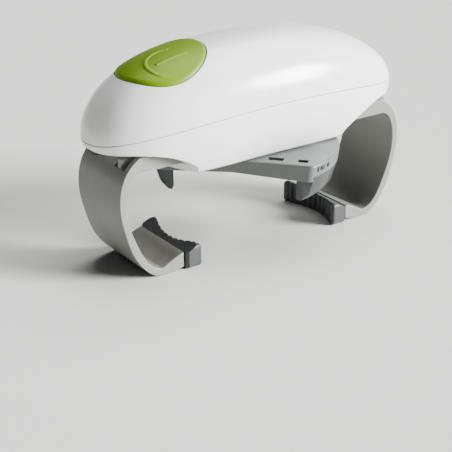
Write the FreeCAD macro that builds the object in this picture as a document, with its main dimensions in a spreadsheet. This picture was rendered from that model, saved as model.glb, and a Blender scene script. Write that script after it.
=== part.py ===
import FreeCAD, Part
import Sketcher
import math
import os

from FreeCAD import Placement, Rotation, Vector

# Electric jar opener, millimetres, +Z up.
# A long domed housing carries two C-shaped arms that slide in from both ends and grip the jar,
# and below it a turntable with two lid jaws.  One geared motor drives both pairs.
# Origin: centre of the bounding box on the surface that the arms rest on.  X runs along the housing,
# with the start button towards -X.  The turntable turns about Z.

os.makedirs("parts", exist_ok=True)
doc = FreeCAD.newDocument("jar_opener")
sheet = doc.addObject("Spreadsheet::Sheet", "Sizes")

SIZES = [
    # housing form
    ("housing_length", 204.0, "overall length of the covers"),
    ("housing_width", 73.2, "overall width of the covers"),
    ("seam_height", 88.2, "height of the seam at mid length"),
    ("seam_drop", 11.7, "how much lower the seam lies at the ends"),
    ("dome_rise", 32.5, "top of the dome above the seam"),
    ("hull_depth", 45.0, "depth of the lower hull form below the seam, before it is cut"),
    ("cover_wall", 2.2, "wall of both covers"),
    ("seam_gap", 0.3, "groove between the covers"),
    ("tray_bottom", 72.7, "underside of the end overhangs"),
    ("lip_height", 56.4, "lower lip of the bowl"),
    ("lip_length", 116.0, "bowl length at the lip"),
    ("lip_width", 51.6, "bowl width at the lip"),
    ("lip_radius", 42.0, "plan radius of the bowl's ends at the lip"),
    ("foot_rise", 3.6, "height of the bowl end's steep foot"),
    ("foot_step", 2.5, "how far the steep foot leans out"),
    ("flare_rise", 11.4, "height of the flare's middle above the lip"),
    ("flare_step", 13.5, "how far the flare's middle stands out"),
    ("flare_reach", 34.0, "how far the flare reaches out under the overhang"),
    ("floor_recess", 1.0, "bowl floor above the lip"),
    ("floor_thick", 2.5, "bowl floor"),
    # start button
    ("button_inset", 46.7, "button centre from the housing's end"),
    ("button_place", "=housing_length / 2 - button_inset", "button centre from mid length"),
    ("button_length", 48.6, "button along the housing"),
    ("button_width", 48.4, "button across the housing"),
    ("button_gap", 0.5, "gap round the button"),
    ("button_proud", 1.0, "button above the dome"),
    ("button_wall", 2.6, "button cap thickness"),
    ("button_skirt", 6.0, "depth of the button's rim below the dome"),
    ("button_travel", 1.6, "press of the button"),
    ("guide_wall", 1.6, "collar round the button inside the cover"),
    ("board_top", 97.8, "top of the circuit board"),
    ("board_thick", 1.6, "circuit board"),
    ("board_length", 46.0, "circuit board along X"),
    ("board_width", 36.0, "circuit board along Y"),
    ("switch_side", 12.0, "tactile switch body"),
    ("switch_tall", 5.4, "tactile switch body height"),
    ("spring_radius", 9.0, "button spring, mean radius"),
    ("spring_wire", 1.0, "button spring wire"),
    ("spring_turns", 4.0, "button spring turns"),
    # arms
    ("arm_inset", 6.0, "how far an arm at rest stays behind the housing's end"),
    ("arm_span", "=housing_length - 2 * arm_inset", "overall span of the two arms at rest"),
    ("arm_width", 45.0, "arm width across"),
    ("rail_bottom", 62.3, "underside of the arm's slide"),
    ("rail_top", 70.8, "top of the arm's slide"),
    ("rail_wall", 3.4, "side rail of the arm's slide"),
    ("rail_reach", 40.0, "length of the side rails inboard of the shoulder"),
    ("slide_clear", 0.45, "clearance of the arm in its slot and between its guides"),
    ("slot_side", 3.0, "room beside the arm in its slot"),
    ("guide_rib", 1.6, "thickness of the ribs that guide the arm"),
    ("rib_wide", 3.0, "stiffening rib in the shoulder slot"),
    ("slot_inner", 8.6, "inner edge of the shoulder slot from mid width"),
    ("arm_close", 18.0, "travel of each arm towards the jar"),
    ("arm_open", 3.0, "travel of each arm away from the jar"),
    ("rack_tall", 6.0, "height of an arm's rack"),
    ("rack_back", 5.5, "rack bar behind the teeth"),
    ("arm_module", 1.0, "module of the arm racks and pinion"),
    ("arm_teeth", 18.0, "teeth of the arm pinion"),
    # jar pads on the arms
    ("pad_gap", 0.7, "gap between the arm tip and its pad"),
    ("jar_radius", 43.8, "radius of the jar that the pads' grip faces fit"),
    ("pad_stand", 9.0, "distance of a pad at rest from that jar"),
    ("pad_corner", 2.2, "rounding at the ends of the grip face"),
    ("pad_bevel", 1.5, "bevel of the pad's back corners"),
    ("pad_crest", 7.8, "distance from the pad's back to its full height"),
    ("groove_radius", 0.7, "radius of the grip grooves"),
    ("groove_pitch", 4.5, "distance between the grip grooves"),
    ("pad_width", 49.0, "jar pad along Y"),
    ("pad_height", 13.4, "jar pad height at the grip face"),
    ("pad_key", 3.2, "height of the key that holds the pad"),
    ("key_place", 3.6, "underside of the pad's key"),
    ("key_long", 3.0, "how far the key reaches into the arm tip"),
    ("key_width", 38.0, "width of the key"),
    ("tip_place", 57.2, "end face of the arm tip from mid length"),
    ("tip_height", 10.2, "top of the arm tip"),
    ("foot_slope", 7.0, "slope at the end of the arm's foot"),
    # turntable and lid jaws
    ("turn_rest", -49.0, "rest angle of the turntable's long axis, degrees"),
    ("turn_radius", 54.0, "turntable radius at its ends"),
    ("turn_flat", 60.0, "turntable width across its flats"),
    ("turn_top", 55.8, "top of the turntable"),
    ("turn_bottom", 48.4, "underside of the turntable"),
    ("turn_plate", 2.0, "turntable's top plate"),
    ("turn_wall", 2.4, "turntable's side wall"),
    ("turn_taper", 1.0, "inward lean of the turntable's rim"),
    ("turn_edge", 1.4, "rounding of the turntable's top edge"),
    ("turn_corner", 3.5, "rounding of the turntable's corners"),
    ("skirt_drop", 2.2, "how much deeper the turntable's flanks reach at its corners"),
    ("skirt_place", 40.0, "place along the flank where it is deepest"),
    ("base_thick", 1.8, "turntable's base plate"),
    ("base_clear", 0.15, "clearance of the base plate inside the rim"),
    ("hub_radius", 9.0, "turntable hub"),
    ("hub_top", 61.5, "top of the turntable hub"),
    ("shaft_radius", 4.0, "drive shaft"),
    ("run_clear", 0.06, "radial running clearance"),
    ("jaw_bottom", 34.0, "lower edge of the lid jaws"),
    ("jaw_top", 48.1, "top of the lid jaws' skirt"),
    ("jaw_outer_top", 53.0, "outer radius of a jaw at its top"),
    ("jaw_outer_low", 46.6, "outer radius of a jaw at its lower edge"),
    ("jaw_shoulder", 38.0, "height where the jaw turns in"),
    ("jaw_outer_mid", 50.0, "outer radius of a jaw at that height"),
    ("jaw_inner", 44.6, "inner radius of a jaw"),
    ("jaw_half_angle", 42.0, "half of the angle that a jaw covers before its sides are trimmed, degrees"),
    ("jaw_side_clear", 0.4, "gap between a jaw's side and the turntable's flank"),
    ("grip_half_angle", 35.0, "half of the angle that a liner covers, degrees"),
    ("grip_rib_step", 2.5, "angle between the liner's grooves, degrees"),
    ("grip_groove", 0.55, "radius of the liner's grooves"),
    ("grip_liner", 1.6, "rubber liner on a jaw"),
    ("jaw_close", 27.0, "travel of each lid jaw towards the middle"),
    ("jaw_open", 2.0, "travel of each lid jaw outwards"),
    ("lid_module", 0.75, "module of the lid racks and pinion"),
    ("lid_teeth", 16.0, "teeth of the lid pinion"),
    ("lid_rack_back", 5.2, "lid rack bar behind its teeth"),
    ("lid_rack_tall", 3.0, "height of the lid racks"),
    ("lid_rack_past", 6.0, "lid rack past the pinion at rest"),
    ("neck_wide", 3.6, "neck between jaw and rack"),
    ("neck_long", 8.0, "length of the neck"),
    ("neck_place", 38.0, "inner end of the neck from the axis at rest"),
    ("guide_place", 20.0, "second guide tab from the slide axis"),
    ("guide_long", 4.0, "length of the second guide tab"),
    ("guide_foot", 7.0, "width of the second guide tab's foot"),
    ("neck_clear", 0.3, "clearance of necks in their slots"),
    # drive train
    ("deck_bottom", 72.2, "underside of the gear deck"),
    ("deck_thick", 1.6, "gear deck plate"),
    ("deck_length", 84.0, "gear deck along X"),
    ("deck_width", 54.0, "gear deck along Y"),
    ("output_teeth", 44.0, "output gear teeth"),
    ("output_module", 1.0, "output gear module"),
    ("output_bottom", 74.5, "underside of the output gear"),
    ("output_tall", 5.0, "output gear face width"),
    ("wheel_gap", 0.5, "gap between gears one above the other"),
    ("second_teeth", 12.0, "second stage pinion teeth"),
    ("second_wheel", 36.0, "second stage wheel teeth"),
    ("fine_module", 0.8, "module of the second stage wheel"),
    ("first_teeth", 12.0, "first stage pinion teeth"),
    ("first_wheel", 32.0, "first stage wheel teeth"),
    ("finest_module", 0.6, "module of the first stage wheel"),
    ("motor_teeth", 10.0, "motor pinion teeth"),
    ("wheel_tall", 3.6, "face width of the stage wheels"),
    ("axle_radius", 1.5, "gear axles"),
    ("second_angle", 165.0, "direction of the second stage from the shaft, degrees"),
    ("first_angle", -60.0, "direction of the first stage from the second, degrees"),
    ("motor_angle", 20.0, "direction of the motor from the first stage, degrees"),
    ("bridge_thick", 1.6, "bridge plate that carries the motor"),
    ("gearhead_radius", 10.5, "planetary gearhead"),
    ("gearhead_tall", 8.5, "planetary gearhead height"),
    ("motor_radius", 10.2, "motor can"),
    ("motor_tall", 14.5, "motor can height"),
    # batteries
    ("cell_radius", 7.2, "battery cell"),
    ("cell_length", 49.5, "battery cell body"),
    ("cell_height", 88.6, "height of the cells' axes"),
    ("cell_inset", 77.2, "inner end of the cells from the housing's end"),
    ("cell_start", "=housing_length / 2 - cell_inset", "inner end of the cells from mid length"),
    ("cell_pitch", 15.6, "distance between the cells"),
    ("cradle_wall", 1.4, "battery cradle wall"),
    ("door_length", 52.0, "battery door along X"),
    ("door_low", 89.0, "lower edge of the battery door"),
    ("door_high", 103.0, "upper edge of the battery door"),
    ("door_gap", 0.25, "gap round the battery door"),
    ("tab_wall", 1.2, "thickness of the door's hooks and latch"),
    ("tab_clear", 0.15, "gap between a hook and the cover"),
    ("tab_wide", 8.0, "width of a hook"),
    ("tab_reach", 2.4, "how far a hook reaches behind the cover"),
    ("tab_root", 3.0, "how far a hook is rooted in the door"),
    ("tab_place", 15.0, "hooks from the door's middle"),
    ("finger_rib", 0.4, "height of the door's finger ribs"),
    ("finger_pitch", 2.6, "distance between the finger ribs"),
    # fasteners
    ("boss_radius", 3.2, "screw boss at the ends"),
    ("mid_boss_radius", 4.0, "screw boss of the bowl, with a deep recess for its screw"),
    ("screw_radius", 1.3, "screw shank"),
    ("screw_head", 2.6, "screw head radius"),
    ("screw_long", 12.0, "screw shank length"),
    ("head_tall", 1.2, "screw head height"),
    ("drive_wide", 0.7, "width of the cross recess in a screw head"),
]
for row, (alias, value, note) in enumerate(SIZES, start=1):
    sheet.set(f"A{row}", alias)
    sheet.set(f"B{row}", str(value))
    sheet.set(f"C{row}", note)
    sheet.setAlias(f"B{row}", alias)
doc.recompute()


def size(alias):
    """The value of one driving dimension."""
    return float(sheet.get(alias))


# ---------------------------------------------------------------- document helpers

def add(kind, name, **expressions):
    """Adds an object and binds its properties; base_x, base_y and base_z bind its place."""
    item = doc.addObject(kind, name)
    for key, formula in expressions.items():
        key = {"base_x": "Placement.Base.x", "base_y": "Placement.Base.y", "base_z": "Placement.Base.z"}.get(key, key)
        item.setExpression(key, formula)
    return item


def sizes(formula):
    """Puts the sheet's name before each alias in a formula."""
    words = []
    for word in formula.replace("(", "( ").replace(")", " )").split():
        words.append("Sizes." + word if word[0].isalpha() and "_" in word else word)
    return " ".join(words)


def box(name, low_x, high_x, low_y, high_y, low_z, high_z):
    """A box between two corners, each bound to the sheet."""
    spans = {"Length": (low_x, high_x), "Width": (low_y, high_y), "Height": (low_z, high_z)}
    bound = {key: sizes(f"({high}) - ({low})") for key, (low, high) in spans.items()}
    return add("Part::Box", name, base_x=sizes(low_x), base_y=sizes(low_y), base_z=sizes(low_z), **bound)


def disc(name, radius, low_z, high_z, place_x="0", place_y="0"):
    """An upright cylinder bound to the sheet."""
    return add("Part::Cylinder", name, Radius=sizes(radius), Height=sizes(f"({high_z}) - ({low_z})"),
               base_x=sizes(place_x), base_y=sizes(place_y), base_z=sizes(low_z))


def fuse(name, *items):
    """All of the items joined."""
    item = doc.addObject("Part::MultiFuse", name)
    item.Shapes = list(items)
    return item


def common(name, *items):
    """What all of the items share."""
    item = doc.addObject("Part::MultiCommon", name)
    item.Shapes = list(items)
    return item


def cut(name, base, *tools):
    """The base without its tools."""
    item = doc.addObject("Part::Cut", name)
    item.Base = base
    item.Tool = tools[0] if len(tools) == 1 else fuse(name + "_tools", *tools)
    return item


def feature(name, shape):
    """A solid whose shape is worked out here from the sheet."""
    item = doc.addObject("Part::Feature", name)
    item.Shape = shape
    return item


def turned(item, angle):
    """Turns a finished piece about the turntable's axis."""
    item.Placement = Placement(Vector(0, 0, 0), Rotation(Vector(0, 0, 1), angle)).multiply(item.Placement)
    return item


def polar(radius, angle):
    """A point at a radius and an angle in degrees."""
    return Vector(radius * math.cos(math.radians(angle)), radius * math.sin(math.radians(angle)), 0)


PIECES = {}


def piece(name, item):
    """Names a finished sub-part."""
    item.Label = name
    PIECES[name] = item
    return item


# ---------------------------------------------------------------- part design helpers

def new_body(name):
    return doc.addObject("PartDesign::Body", name)


def origin_plane(body, role):
    return next(plane for plane in body.Origin.OriginFeatures if plane.Role == role)


def new_sketch(body, name, role, offset=None):
    """A sketch on one of the body's own planes, lifted by a bound offset."""
    sketch = body.newObject("Sketcher::SketchObject", name)
    sketch.AttachmentSupport = [(origin_plane(body, role), "")]
    sketch.MapMode = "FlatFace"
    if offset:
        sketch.setExpression("AttachmentOffset.Base.z", sizes(offset))
    return sketch


def outline(sketch, points):
    """A closed outline of straight runs."""
    corners = [Vector(px, py, 0) for px, py in points]
    for start, end in zip(corners, corners[1:] + corners[:1]):
        sketch.addGeometry(Part.LineSegment(start, end), False)


def pad(body, name, sketch, length, symmetric=False, down=False):
    item = body.newObject("PartDesign::Pad", name)
    item.Profile = sketch
    item.setExpression("Length", sizes(length))
    item.SideType = "Symmetric" if symmetric else "One side"
    item.Reversed = down
    return item


def pocket(body, name, sketch, length, symmetric=False, up=False):
    item = body.newObject("PartDesign::Pocket", name)
    item.Profile = sketch
    item.setExpression("Length", sizes(length))
    item.SideType = "Symmetric" if symmetric else "One side"
    item.Reversed = up
    return item


# ---------------------------------------------------------------- housing form

BUTTON_END = {"plan": 2.8, "dome": 4.3, "swell": 0.15}    # the -X end is the fuller one
PLAIN_END = {"plan": 1.75, "dome": 2.45, "swell": 0.6}
FAR = 150.0                                # beyond every piece
PLAN_ROOT = 2.2
DOME_ROOT = 2.05
DOME_SQUARE = 2.3                          # 2 is an ellipse; more is squarer
NOSE_STEPS = (0, 14, 28, 42, 55, 67, 77, 84, 88)


def hull_section(place, shrink):
    """The closed cross-section of the housing form at one place along X.

    The half-width and the rise are superellipses of the place; the seam line drops towards the ends.
    """
    half = size("housing_length") / 2 - shrink
    share = abs(place) / half
    end = BUTTON_END if place < 0 else PLAIN_END
    wide = (size("housing_width") / 2 - shrink) * (1 - share ** end["plan"]) ** (1 / PLAN_ROOT)
    rise = (size("dome_rise") - shrink) * (1 - share ** end["dome"]) ** (1 / DOME_ROOT)
    deep = (size("hull_depth") - shrink) * (1 + end["swell"] * share ** 2) * (1 - share ** 4) ** 0.9
    seam = size("seam_height") - size("seam_drop") * (place / size("housing_length") * 2) ** 2
    points = []
    for step in range(24):
        angle = math.radians(step * 15)
        power = 2 / DOME_SQUARE if step < 12 else 1
        across = math.copysign(abs(math.cos(angle)) ** power, math.cos(angle))
        up = math.copysign(abs(math.sin(angle)) ** power, math.sin(angle))
        points.append(Vector(place, wide * across, seam + (rise if up > 0 else deep) * up))
    curve = Part.BSplineCurve()
    curve.interpolate(points, PeriodicFlag=True)
    return Part.Wire(curve.toShape())


def hull(name, shrink):
    """The whole egg-like form of the housing, smaller by shrink on every side."""
    half = size("housing_length") / 2 - shrink
    places = [-half * math.sin(math.radians(a)) for a in reversed(NOSE_STEPS[1:])]
    places += [half * math.sin(math.radians(a)) for a in NOSE_STEPS]
    return feature(name, Part.makeLoft([hull_section(p, shrink) for p in places], True, False))


def flare_outline(shrink):
    """The bowl end's profile as (radius, height): a steep foot, then a sweep out under the overhang."""
    radius, lip = size("lip_radius"), size("lip_height")
    foot = Vector(radius + size("foot_step") - shrink, 0, lip + size("foot_rise"))
    middle = Vector(radius + size("flare_step") - 0.75 * shrink, 0, lip + size("flare_rise") + 0.65 * shrink)
    tip = Vector(radius + size("flare_reach"), 0, size("tray_bottom") + shrink)
    start = Vector(radius - shrink, 0, lip)
    low_end, top_end = Vector(0, 0, lip), Vector(0, 0, tip.z)
    return Part.Wire([Part.LineSegment(low_end, start).toShape(), Part.LineSegment(start, foot).toShape(),
                      Part.Arc(foot, middle, tip).toShape(), Part.LineSegment(tip, top_end).toShape(),
                      Part.LineSegment(top_end, low_end).toShape()])


def end_cutter(name, side, shrink):
    """What is cut away below one overhang: a block less the revolved end of the bowl."""
    place = size("lip_length") / 2 - size("lip_radius")
    end = Part.Face(flare_outline(shrink)).revolve(Vector(0, 0, 0), Vector(0, 0, 1), 360)
    block = Part.makeBox(FAR, 2 * FAR, size("tray_bottom") + shrink - size("lip_height"),
                         Vector(0, -FAR, size("lip_height")))
    cutter = block.cut(end)
    cutter.translate(Vector(place, 0, 0))
    if side < 0:
        cutter = cutter.rotated(Vector(0, 0, 0), Vector(0, 0, 1), 180)
    return feature(name, cutter)


def seam_roller(name, step):
    """The large cylinder across the housing whose top is the arched seam."""
    item = doc.addObject("Part::Cylinder", name)
    radius = "( ( housing_length / 2 ) ^ 2 + seam_drop ^ 2 ) / ( 2 * seam_drop )"
    item.setExpression("Radius", sizes(f"{radius} + {step}"))
    item.setExpression("Height", sizes("housing_width + 20"))
    item.Placement.Rotation = Rotation(Vector(1, 0, 0), -90)
    item.setExpression("Placement.Base.y", sizes("0 - housing_width / 2 - 10"))
    item.setExpression("Placement.Base.z", sizes(f"seam_height - ( {radius} )"))
    return item


outer_hull = hull("outer_hull", 0)
inner_hull = hull("inner_hull", size("cover_wall"))
doc.recompute()

LEFT_BOSS = (12.0 - size("housing_length") / 2, 8.0)
RIGHT_BOSS = (size("housing_length") / 2 - 10.5, 6.6)
MID_BOSS = (27.0, size("lip_width") / 2 - 5.1)
BOSSES = [(x, side * y) for x, y in (LEFT_BOSS, RIGHT_BOSS, MID_BOSS) for side in (-1, 1)]


def ellipse_post(name, grow, low_z, high_z):
    """An upright elliptical post of the button's plan, grown by a margin."""
    half_x = size("button_length") / 2 + grow
    half_y = size("button_width") / 2 + grow
    centre = Vector(-size("button_place"), 0, low_z)
    if half_x > half_y:
        curve = Part.Ellipse(centre, half_x, half_y)
    else:
        curve = Part.Ellipse(centre + Vector(0, half_y, 0), centre + Vector(half_x, 0, 0), centre)
    face = Part.Face(Part.Wire(curve.toShape()))
    return feature(name, face.extrude(Vector(0, 0, high_z - low_z)))


def upper_cover():
    """The domed top shell, with the button opening, its guide collar, the door opening and bosses."""
    wall = size("cover_wall")
    shell = cut("upper_shell", outer_hull, inner_hull)
    collar = cut("button_collar",
                 ellipse_post("collar_out", size("button_gap") + size("guide_wall"), size("board_top"), 130),
                 ellipse_post("collar_in", size("button_gap"), size("board_top") - 1, 131))
    columns = [disc(f"upper_boss_{i}", boss_size(x), "60", "130", str(x), str(y)) for i, (x, y) in enumerate(BOSSES)]
    inside = common("upper_inside", fuse("upper_fittings", collar, *columns), hull("upper_limit", wall / 2))
    whole = fuse("upper_whole", cut("upper_open_shell", shell, door_block("door_opening", "0")), inside)
    cuts = [seam_roller("seam_above", "seam_gap / 2"),
            ellipse_post("button_opening", size("button_gap"), size("board_top") - 2, 135)]
    cuts += [disc(f"upper_pilot_{i}", "screw_radius - 0.1", "60", f"{sink_top(x)} + screw_long + 0.4", str(x), str(y))
             for i, (x, y) in enumerate(BOSSES)]
    return piece("upper_cover", cut("upper_cover", whole, *cuts))


def door_block(name, margin):
    """The block behind the housing that marks out the battery door."""
    middle = "cell_start + cell_length / 2"
    return box(name, f"{middle} - door_length / 2 + {margin}", f"{middle} + door_length / 2 - {margin}", "8", "60",
               f"door_low + {margin}", f"door_high - {margin}")


def battery_door():
    """A curved panel in the rear wall, cut from the same shell, with two hooks, a latch tongue and finger ribs."""
    wall = size("cover_wall")
    shell = cut("door_shell", outer_hull, inner_hull)
    panel = common("door_panel", shell, door_block("door_outline", "door_gap"))
    tab_inner = hull("tab_inner_form", wall + size("tab_clear") + size("tab_wall"))
    behind = cut("tab_shell", hull("tab_outer_form", wall + size("tab_clear")), tab_inner)
    rooted = cut("tab_root_shell", hull("tab_root_form", wall - 0.6), tab_inner)
    middle = "cell_start + cell_length / 2"
    reach, roots = [], []
    for i, (place, down) in enumerate((("0 - tab_place", True), ("tab_place", True), ("0", False))):
        low_x, high_x = f"{middle} + {place} - tab_wide / 2", f"{middle} + {place} + tab_wide / 2"
        if down:
            spans = ("door_low - tab_reach", "door_low + tab_root", "door_low + door_gap", "door_low + tab_root")
        else:
            spans = ("door_high - tab_root", "door_high + tab_reach", "door_high - tab_root", "door_high - door_gap")
        reach.append(box(f"tab_reach_{i}", low_x, high_x, "8", "60", spans[0], spans[1]))
        roots.append(box(f"tab_root_{i}", low_x, high_x, "8", "60", spans[2], spans[3]))
    ribs = [box(f"finger_rib_{i}", f"{middle} + {step} * finger_pitch - 0.6", f"{middle} + {step} * finger_pitch + 0.6",
                "8", "60", "door_high - 7", "door_high - 2.4") for i, step in enumerate((-3, -2, -1, 0, 1, 2, 3))]
    raised = common("finger_ribs", cut("finger_shell", hull("finger_form", -size("finger_rib")), inner_hull),
                    fuse("finger_rib_blocks", *ribs))
    return piece("battery_door", fuse("battery_door", panel, common("door_tabs", behind, fuse("tab_blocks", *reach)),
                                      common("door_roots", rooted, fuse("root_blocks", *roots)), raised))


def lip_plate(name, shrink, low, high):
    """A plate of the lip's plan: straight flanks between two round ends."""
    radius = size("lip_radius") - shrink
    place = size("lip_length") / 2 - size("lip_radius")
    half = size("lip_width") / 2 - shrink
    corner = place + math.sqrt(radius ** 2 - half ** 2)
    ends = [Part.Arc(Vector(side * corner, -side * half, low), Vector(side * (place + radius), 0, low),
                     Vector(side * corner, side * half, low)).toShape() for side in (1, -1)]
    flanks = [Part.LineSegment(Vector(side * corner, side * half, low),
                               Vector(-side * corner, side * half, low)).toShape() for side in (1, -1)]
    wire = Part.Wire([ends[0], flanks[0], ends[1], flanks[1]])
    return feature(name, Part.Face(wire).extrude(Vector(0, 0, high - low)))


def lower_cover():
    """The lower shell: shallow overhangs at both ends and a deep bowl with a slot for each arm."""
    below = seam_roller("seam_below", "0 - seam_gap / 2")
    above_lip = box("above_lip", "0 - 150", "150", "0 - 60", "60", "lip_height", "130")
    solid = cut("lower_solid", common("lower_form", outer_hull, above_lip, below),
                end_cutter("left_cutter", -1, 0), end_cutter("right_cutter", 1, 0))
    wall = size("cover_wall")
    floor_top = "lip_height + floor_recess + floor_thick"
    over_floor = box("over_floor", "0 - 150", "150", "0 - 60", "60", floor_top, "130")
    inside = cut("lower_inside", common("lower_hollow", inner_hull, over_floor),
                 end_cutter("left_inner_cutter", -1, wall), end_cutter("right_inner_cutter", 1, wall))
    shell = cut("lower_shell", solid, inside)
    recess = lip_plate("floor_pocket", wall, size("lip_height") - 1, size("lip_height") + size("floor_recess"))
    columns = [disc(f"lower_boss_{i}", boss_size(x), "lip_height + 1.5", "120", str(x), str(y))
               for i, (x, y) in enumerate(BOSSES)]
    deck_posts = [disc(f"deck_post_{i}", "2.2", "lip_height + 2", "deck_bottom", str(x), str(y))
                  for i, (x, y) in enumerate(DECK_POSTS)]
    ledges = [box(f"cradle_ledge_{i}", "46", "74", low, high, "60", "cell_height - cell_radius - cradle_wall")
              for i, (low, high) in enumerate((("23.6", "25.4"), ("0 - 25.4", "0 - 23.6")))]
    limit = cut("fitting_limit", common("fitting_hull", hull("fitting_skin", wall / 2), below),
                end_cutter("left_limit_cutter", -1, wall / 2), end_cutter("right_limit_cutter", 1, wall / 2))
    guides = []
    for i, (low, high) in enumerate((("0 - 54", "0 - 36"), ("36", "54"))):
        for side, name in ((1, "rear"), (-1, "front")):
            edges = sorted_sides(side, "arm_width / 2 + slide_clear", "arm_width / 2 + slide_clear + guide_rib")
            guides.append(box(f"arm_guide_{name}_{i}", low, high, *edges, "lip_height + 2", "rail_bottom + 4"))
    fittings = common("lower_fittings", fuse("lower_columns", *columns, *deck_posts, *ledges, *guides), limit)
    whole = fuse("lower_whole", shell, fittings)
    clear = "arm_width / 2 + slot_side"
    slots = [box(f"arm_slot_{i}", low, high, f"0 - ( {clear} )", clear,
                 "rail_bottom - slide_clear", "rail_top + slide_clear")
             for i, (low, high) in enumerate((("0 - 120", "0 - 50"), ("50", "120")))]
    pilots = [disc(f"lower_pilot_{i}", "screw_radius + 0.2", "50", "130", str(x), str(y))
              for i, (x, y) in enumerate(BOSSES)]
    sinks = [disc(f"head_sink_{i}", "screw_head + 0.2", "50", sink_top(x), str(x), str(y))
             for i, (x, y) in enumerate(BOSSES)]
    bore = disc("hub_bore", "hub_radius + run_clear", "50", f"{floor_top} + 0.5")
    return piece("lower_cover", cut("lower_cover", whole, recess, bore, *slots, *pilots, *sinks))


def sorted_sides(side, near, far):
    """The two Y limits of something beside the middle, low one first."""
    return (near, far) if side > 0 else (f"0 - ( {far} )", f"0 - ( {near} )")


def at_end(x):
    """Whether a screw stands under an overhang and not in the bowl."""
    return abs(x) > size("lip_length") / 2


def boss_size(x):
    """The radius alias of the screw boss at a place."""
    return "boss_radius" if at_end(x) else "mid_boss_radius"


def sink_top(x):
    """How high the recess for a screw head reaches."""
    return "tray_bottom + 0.9" if at_end(x) else "seam_height - 8"


DECK_POSTS = [(side_x * (size("deck_length") / 2 - 11), side_y * (size("deck_width") / 2 - 1.2))
              for side_x in (-1, 1) for side_y in (-1, 1)]


def screws():
    """One group of pan head screws, driven up from below into the upper cover's bosses."""
    made, recesses = [], []
    for i, (x, y) in enumerate(BOSSES):
        top = sink_top(x)
        made.append(disc(f"screw_shank_{i}", "screw_radius - 0.1", f"{top}", f"{top} + screw_long", str(x), str(y)))
        made.append(disc(f"screw_cap_{i}", "screw_head", f"{top} - head_tall", f"{top}", str(x), str(y)))
        for long, wide in (("screw_head - 0.8", "drive_wide / 2"), ("drive_wide / 2", "screw_head - 0.8")):
            recesses.append(box(f"screw_drive_{len(recesses)}", f"{x} - ( {long} )", f"{x} + {long}",
                                f"{y} - ( {wide} )", f"{y} + {wide}", f"{top} - head_tall - 1",
                                f"{top} - head_tall + 0.7"))
    return piece("housing_screws", cut("housing_screws", fuse("screw_blanks", *made), *recesses))


# ---------------------------------------------------------------- start button

def start_button():
    """A cap that follows the dome a little proud of it, with a rim, a stem and a spring seat."""
    proud = size("button_proud")
    top = feature("button_dome", outer_hull_raised(proud))
    low = size("seam_height") + 10
    block = ellipse_post("button_block", 0, low, 140)
    cap = common("button_form", top, block)
    hollow = common("button_hollow_form", feature("button_under", outer_hull_raised(proud - size("button_wall"))),
                    ellipse_post("button_core", -size("button_wall"), low - 1, 140))
    rim_floor = feature("button_rim_floor", sunk_hull(size("button_skirt")))
    skirt = cut("button_cap", cap, hollow, rim_floor)
    at = "0 - button_place"
    stem_low = "board_top + switch_tall + 1 + button_travel + 0.1"
    seat_low = f"board_top + spring_wire + {SPRING_LENGTH} + 0.05"
    stem = common("button_stem_form", top, disc("button_stem_post", "3.5", stem_low, "135", at))
    seat = common("button_seat_form", top, cut("button_seat_ring",
                  disc("button_seat_out", "spring_radius + spring_wire", seat_low, "135", at),
                  disc("button_seat_in", "spring_radius - spring_wire - 0.5", "board_top", "136", at)))
    shape = fuse("start_button", skirt, stem, seat)
    return piece("start_button", shape)


def outer_hull_raised(step):
    """The housing form moved straight up or down."""
    shape = outer_hull.Shape.copy()
    shape.translate(Vector(0, 0, step))
    return shape


def sunk_hull(step):
    """The housing form moved down by the depth of the button's rim."""
    return outer_hull_raised(-step)


def circuit_board():
    at = "0 - button_place"
    plate = box("circuit_board", f"{at} - board_length / 2", f"{at} + board_length / 2",
                "0 - board_width / 2", "board_width / 2", "board_top - board_thick", "board_top")
    return piece("circuit_board", plate)


def start_switch():
    """A square tactile switch with its plunger."""
    at = "0 - button_place"
    base = box("switch_base", f"{at} - switch_side / 2", f"{at} + switch_side / 2",
               "0 - switch_side / 2", "switch_side / 2", "board_top", "board_top + switch_tall")
    plunger = disc("switch_plunger", "1.75", "board_top + 1", "board_top + switch_tall + 1", at)
    return piece("start_switch", fuse("start_switch", base, plunger))


def button_spring():
    """A coil spring between the board and the cap: half turns that lean one way and then the other."""
    radius, wire = size("spring_radius"), size("spring_wire")
    half_turns = int(2 * size("spring_turns"))
    rise = SPRING_LENGTH / half_turns
    low = size("board_top") + wire / 2
    arcs = []
    for number in range(half_turns):
        side = 1 if number % 2 == 0 else -1
        start = low + number * rise
        middle = Vector(0, side * math.hypot(radius, rise / 2), start + rise / 2)
        arcs.append(Part.Arc(Vector(side * radius, 0, start), middle,
                             Vector(-side * radius, 0, start + rise)).toShape())
    section = Part.Wire(Part.Circle(Vector(radius, 0, low), Vector(0, 1, 0), wire / 2).toShape())
    coil = Part.Wire(arcs).makePipeShell([section], True, True)
    coil.translate(Vector(-size("button_place"), 0, 0))
    return piece("button_spring", feature("button_spring", coil))


SPRING_LENGTH = 9.2

# ---------------------------------------------------------------- gears and racks

PRESSURE = math.tan(math.radians(20))


def gear_points(teeth, module, turn=0.0):
    """The outline of a spur gear: trapezoid teeth with backlash, one flat tip and root each."""
    pitch_radius = teeth * module / 2
    points = []
    half_tooth = 0.215 * math.pi * module
    for tooth in range(int(teeth)):
        middle = math.radians(turn) + 2 * math.pi * tooth / teeth
        for height, side in ((-1.2, -1), (0.0, -1), (0.92, -1), (0.92, 1), (0.0, 1), (-1.2, 1)):
            radius = pitch_radius + height * module
            half = half_tooth - PRESSURE * height * module * (0.62 if height > 0 else 0.2)
            angle = middle + side * half / pitch_radius
            points.append((radius * math.cos(angle), radius * math.sin(angle)))
    return points


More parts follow.
